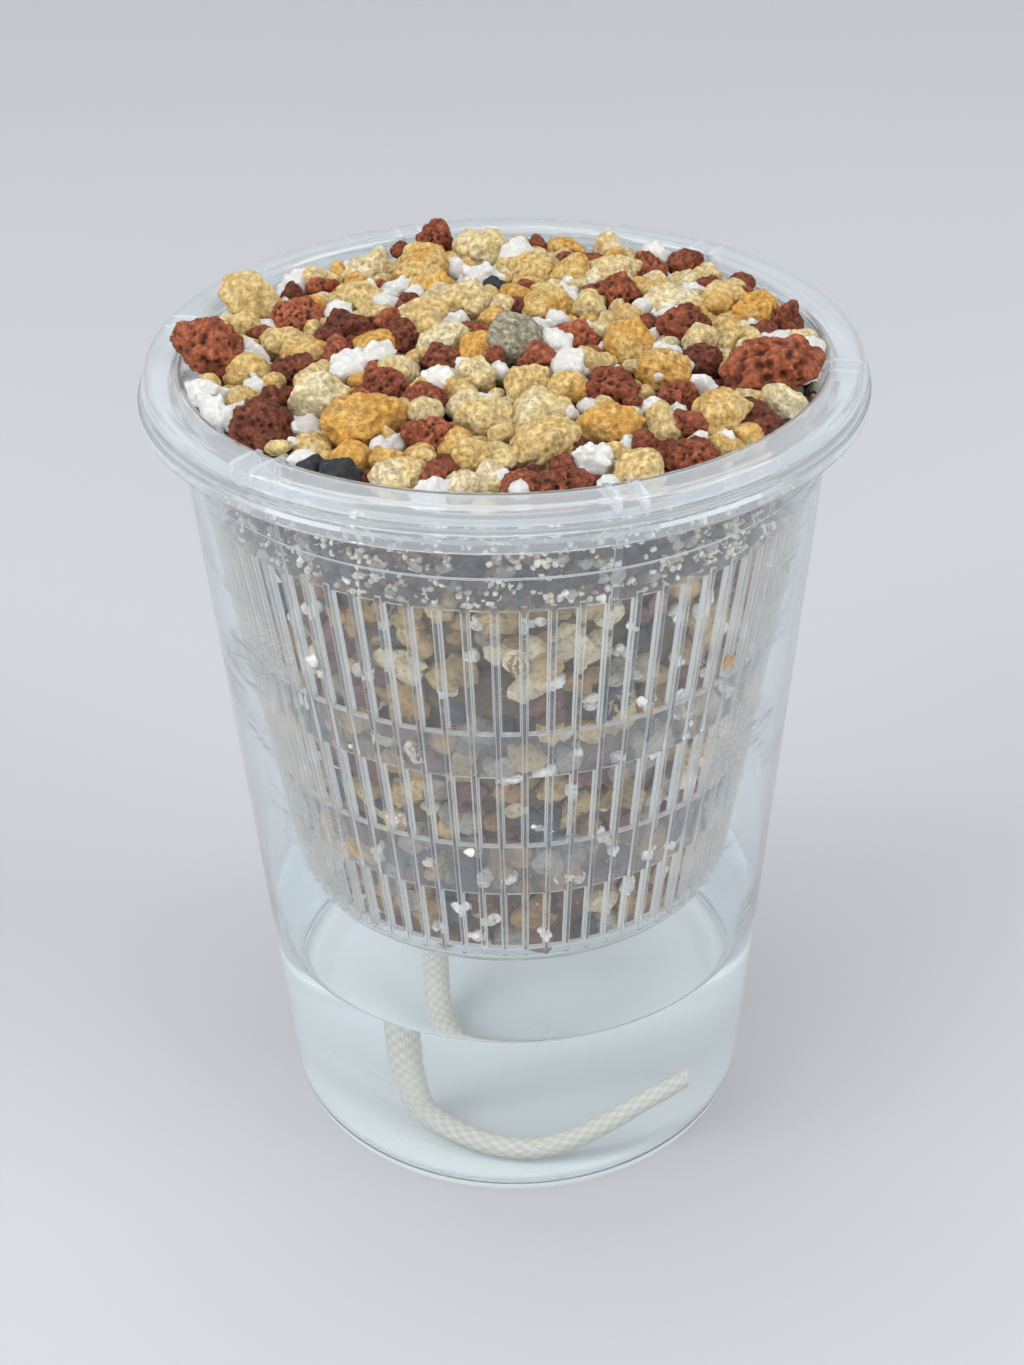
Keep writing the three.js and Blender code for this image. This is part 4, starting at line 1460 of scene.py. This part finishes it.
    def add_small_stones(self) -> None:
        """Lay the smaller stones that are seen one by one between the solids."""
        for kind, bearing, away, width, height in SMALL_STONES:
            half = Vector((width, width * self.draw(*self.small_depths), height)) * self.half_share
            place = min(away, self.radius + self.small_overhang - half.x)
            middle = at_bearing(math.radians(bearing), place, self.surface(place) + self.small_lift)
            self.add_loose(kind, middle, half, self.small_level)
            self.taken.append((middle, max(half)))

    def add_fillers(self) -> None:
        """Fill the bed with stones along its rim and then all over it, and last with crumbs."""
        for step in range(self.rim_stones):
            bearing = (step + self.draw(-self.rim_strew, self.rim_strew)) * FULL_TURN / self.rim_stones
            away = self.radius - self.draw(*self.rim_insets)
            self._drop(at_bearing(bearing, away, self.edge + self.draw(*self.rim_lifts)), self.rim_sizes)
        placed = 0
        for _ in range(self.filler_tries * self.fillers):
            bearing, away, height = self._spot(self.filler_inset)
            middle = at_bearing(bearing, away, height + self.draw(*self.filler_lifts))
            placed += self._drop(middle, self.filler_sizes)
            if placed == self.fillers:
                break
        for _ in range(self.crumbs):
            size = self.draw(*self.crumb_sizes)
            bearing, away, height = self._spot(size)
            middle = at_bearing(bearing, away, height + self.draw(*self.crumb_lifts))
            half = self._half(size, self.crumb_form)
            self.add_loose(self.random.choice(CRUMB_KINDS), middle, half, self.crumb_level)

    def build(self) -> None:
        """Make every stone, one piece for the solids of each kind and one for its chips."""
        for kind in Kind:
            for node in kind.nodes:
                self.add_solid(kind, node)
        self.add_small_stones()
        self.add_fillers()
        for kind in Kind:
            material = FINISHES[kind].material()
            stones = self.stones[kind].piece(f"{kind.value}_stones", material, 180.0)
            report(stones, "basket", kind.value, *kind.nodes)
            if kind is not Kind.GRANITE:
                chips = self.chips[kind].piece(f"{kind.value}_chips", material, 180.0)
                report(chips, "basket", kind.value)


@dataclass(frozen=True)
class Shade:
    """One colour among mixed grains, and how common it is."""

    colour: Colour
    share: float


CHIP_SHADES = (
    Shade(paint(22, 22, 24), 0.46), Shade(paint(72, 72, 74), 0.2), Shade(paint(164, 160, 150), 0.16),
    Shade(paint(98, 74, 56), 0.18),
)
BEAD_SHADES = (
    Shade(paint(230, 218, 194), 0.45), Shade(paint(246, 242, 230), 0.28), Shade(paint(196, 170, 136), 0.17),
    Shade(paint(112, 84, 60), 0.1),
)
COARSE_SHADES = (
    Shade(paint(182, 158, 116), 0.27), Shade(paint(154, 126, 88), 0.2), Shade(paint(120, 90, 86), 0.19),
    Shade(paint(78, 82, 90), 0.1), Shade(paint(156, 148, 136), 0.14), Shade(paint(206, 194, 164), 0.1),
)
CRUMB_SHADES = (Shade(paint(234, 232, 224), 0.85), Shade(paint(218, 206, 182), 0.15))
GRIT_CORE = paint(110, 106, 98)
COARSE_CORE = paint(104, 90, 74)


@dataclass(frozen=True)
class Layer:
    """Grains packed side by side in one layer against the pot's wall."""

    name: str
    slot: str
    shades: tuple[Shade, ...]
    bottom: float
    top: float
    spacing: float
    sizes: Range
    depths: Range
    share: float = 0.95
    level: int = 2
    crease: float = 60.0
    clump: float = -1.0
    balls: int = 1
    jitter: float = 0.12


@dataclass(frozen=True)
class Stray:
    """A crumb that sticks to the outside of the net pot, with its half sizes."""

    colour: Colour
    bearing: float
    height: float
    wide: float
    tall: float
    thick: float
    tilt: float = 0.0


WHITE_CRUMB = paint(242, 241, 234)
OCHRE_FLAKE = paint(206, 158, 96)
STRAYS = (
    Stray(WHITE_CRUMB, -38.3, 112.6, 1.2, 1.5, 0.8, 20.0), Stray(WHITE_CRUMB, -36.8, 110.4, 0.9, 0.8, 0.7),
    Stray(OCHRE_FLAKE, 45.9, 107.2, 1.9, 0.7, 0.5, -25.0),
    Stray(OCHRE_FLAKE, 45.0, 108.3, 0.7, 1.1, 0.4, 15.0),
    Stray(OCHRE_FLAKE, -38.2, 72.4, 1.6, 0.9, 0.5, 30.0), Stray(WHITE_CRUMB, -9.2, 78.8, 1.0, 0.9, 0.7),
    Stray(WHITE_CRUMB, 24.6, 107.2, 1.1, 0.9, 0.7, 35.0), Stray(WHITE_CRUMB, 37.6, 98.6, 0.5, 0.6, 0.4),
    Stray(WHITE_CRUMB, -33.1, 96.7, 0.5, 0.5, 0.4), Stray(OCHRE_FLAKE, -18.8, 117.3, 0.5, 0.7, 0.4),
)


@dataclass
class Mix:
    """The gravel seen through the net pot: fine grit in a band at the top, and coarse stones below it."""

    pot: NetPot
    grit_bottom: float = 127.2
    grit_top: float = 141.9
    grit_edge: float = 140.6
    grit_crown: float = 2.4
    clearance: float = 0.3
    core_depth: float = 2.4
    core_segments: int = 72
    core_gap: float = 0.1
    crown_share: float = 0.75
    strew: float = 0.35
    form: tuple[Range, Range] = ((0.65, 1.0), (0.6, 0.9))
    tones: Range = (0.75, 1.1)
    ball_step: float = 1.1
    clump_scale: float = 0.3
    stray_level: int = 3
    stray_seat: float = 0.7
    stray_size: float = 0.85
    stray_lump: float = 0.3
    stray_scale: float = 1.3
    seed: int = 5

    def __post_init__(self) -> None:
        """Start the random draws."""
        self.random = random.Random(self.seed)
        self.draw = self.random.uniform

    def _direction(self) -> Vector:
        """A random direction."""
        return Vector((self.draw(-1, 1) for _ in range(3))).normalized()

    def core(self, name: str, node: str, span: Range, crown: float, colour: Colour) -> None:
        """Make the body of grains too deep to be seen one by one.

        Args:
            name: The name of the piece.
            node: The solid that it stands for, which has the name of its slot.
            span: The heights of its underside and of the edge of its top.
            crown: How far the middle of its top stands above the edge.
            colour: The colour of its grains.
        """
        low, high = span
        levels = (low, (low + high) / 2, high)
        profile = [(0.0, low), *((self.pot.inside(z) - self.core_depth, z) for z in levels)]
        profile += [(profile[-1][0] / 2, high + self.crown_share * crown), (0.0, high + crown)]
        bm = spun(profile, self.core_segments)
        hue = bm.verts.layers.float_color.new("hue")
        for vert in bm.verts:
            vert[hue] = colour
        piece = finished(bm, name, Gravel(f"{name}_gravel").material(), crease=40.0)
        report(piece, "basket", node, node)

    def grain(self, middle: Vector, size: float, colour: Colour, layer: Layer) -> BMesh:
        """One rough grain, flattened where it meets the wall or the floor.

        Args:
            middle: Its middle in millimetres.
            size: Its largest radius in millimetres.
            colour: Its colour before its own light or dark tone.
            layer: The layer that it lies in.

        Returns:
            The grain in metres.
        """
        bm = bmesh.new()
        hue = bm.verts.layers.float_color.new("hue")
        axis = self._direction()
        turn = Matrix.Rotation(self.draw(0, FULL_TURN), 4, axis)
        shape = Matrix.Diagonal((size, *(size * self.draw(*shares) for shares in self.form), 1.0))
        lay = Matrix.Translation(middle) @ turn @ shape
        verts = bmesh.ops.create_icosphere(bm, subdivisions=layer.level, radius=1.0, matrix=lay)["verts"]
        tone = self.draw(*self.tones)
        for vert in verts:
            vert[hue] = (*(part * tone for part in colour[:3]), 1.0)
            place = middle + (vert.co - middle) * self.draw(1 - layer.jitter, 1 + layer.jitter)
            place.z = max(place.z, self.pot.floor + self.pot.wall)
            limit = self.pot.inside(place.z) - self.clearance
            if place.xy.length > limit:
                place.xy = place.xy * limit / place.xy.length
            vert.co = place * MM
        return bm

    def stuck(self, stray: Stray) -> BMesh:
        """One crumb that sticks to the outside of the pot, in metres."""
        bm = bmesh.new()
        hue = bm.verts.layers.float_color.new("hue")
        bearing = math.radians(stray.bearing)
        out = self.pot.outside(stray.height) + self.pot.rib_proud + self.stray_seat * stray.thick
        middle = at_bearing(bearing, out, stray.height)
        turn = Matrix.Rotation(bearing, 4, "Z") @ Matrix.Rotation(math.radians(stray.tilt), 4, "Y")
        lay = Matrix.Translation(middle) @ turn @ Matrix.Diagonal((stray.wide, stray.thick, stray.tall, 1.0))
        ball = bmesh.ops.create_icosphere(bm, subdivisions=self.stray_level, radius=1.0, matrix=lay)
        for vert in ball["verts"]:
            vert[hue] = stray.colour
            lump = self.stray_lump * noise.noise(vert.co * self.stray_scale)
            vert.co = (middle + (vert.co - middle) * (self.stray_size + lump)) * MM
        return bm

    def pack(self, layer: Layer) -> None:
        """Pack one layer of grains round the pot, each a cluster of one or more balls."""
        heap = Heap()
        colours, shares = zip(*((shade.colour, shade.share) for shade in layer.shades))
        rows = round((layer.top - layer.bottom) / layer.spacing)
        for row in range(rows):
            height = layer.bottom + (row + 0.5) * layer.spacing
            columns = round(FULL_TURN * self.pot.inside(height) / layer.spacing)
            for column in range(columns):
                size = self.random.triangular(*layer.sizes)
                z = height + self.draw(-self.strew, self.strew) * layer.spacing
                bearing = (column + row % 2 / 2 + self.draw(-self.strew, self.strew)) * FULL_TURN / columns
                away = self.pot.inside(z) - self.clearance - size * self.draw(*layer.depths)
                middle = at_bearing(bearing, away, z)
                if self.random.random() > layer.share or noise.noise(middle * self.clump_scale) < layer.clump:
                    continue
                colour = self.random.choices(colours, shares)[0]
                for _ in range(self.random.randint(1, layer.balls)):
                    heap.add(self.grain(middle, size, colour, layer))
                    middle = middle + self._direction() * size * self.ball_step
        grains = heap.piece(layer.name, Gravel(f"{layer.name}_gravel").material(), layer.crease)
        report(grains, "basket", layer.slot)

    def layers(self) -> tuple[Layer, ...]:
        """The layers of grains that are seen, from the grit to the crumbs among the coarse stones."""
        floor = self.pot.floor + self.pot.wall
        edge, top = self.grit_bottom, self.grit_top
        return (
            Layer(
                "grit_chips", "fine_grit", CHIP_SHADES, bottom=edge + 1.0, top=top - 0.8, spacing=2.2,
                sizes=(0.9, 1.7), depths=(0.4, 0.9), crease=28.0,
            ),
            Layer(
                "grit_beads", "fine_grit", BEAD_SHADES, bottom=edge + 0.3, top=top, spacing=1.1,
                sizes=(0.5, 0.9), depths=(0.5, 0.9), level=1, clump=-0.06, jitter=0.05,
            ),
            Layer(
                "coarse_grains", "coarse_mix", COARSE_SHADES, bottom=floor + 1.5, top=edge, spacing=5.6,
                sizes=(1.6, 3.6), depths=(0.55, 0.95), crease=42.0, balls=4, jitter=0.16,
            ),
            Layer(
                "coarse_deep_grains", "coarse_mix", COARSE_SHADES, bottom=floor + 1.0, top=edge, spacing=4.6,
                sizes=(2.0, 3.0), depths=(1.3, 2.0), share=1.0,
            ),
            Layer(
                "coarse_crumbs", "perlite", CRUMB_SHADES, bottom=floor + 1.5, top=edge, spacing=6.0,
                sizes=(0.8, 1.6), depths=(0.6, 1.1), share=0.45, balls=5, jitter=0.03,
            ),
        )

    def build(self) -> None:
        """Make both bodies of the mix, the grains round them and the crumbs outside the pot."""
        edge = self.grit_bottom
        bottom = self.pot.floor + self.pot.wall + self.clearance
        self.core("grit_core", "fine_grit", (edge, self.grit_edge), self.grit_crown, GRIT_CORE)
        self.core("coarse_core", "coarse_mix", (bottom, edge - self.core_gap), 0.0, COARSE_CORE)
        for layer in self.layers():
            self.pack(layer)
        heap = Heap()
        for stray in STRAYS:
            heap.add(self.stuck(stray))
        report(heap.piece("stray_crumbs", Gravel("stray_crumb").material(), 60.0), "basket", "perlite")


def main() -> None:
    """Build the view, the wick and then every other part of the pot."""
    logging.basicConfig(level=logging.INFO, format="%(name)s %(message)s")
    View().build()
    Wick().build()
    Studio().build()
    cup = Cup()
    pot = NetPot()
    cup.build()
    Water(cup).build()
    pot.build()
    Mix(pot).build()
    StoneBed(pot).build()


if __name__ == "__main__":
    main()
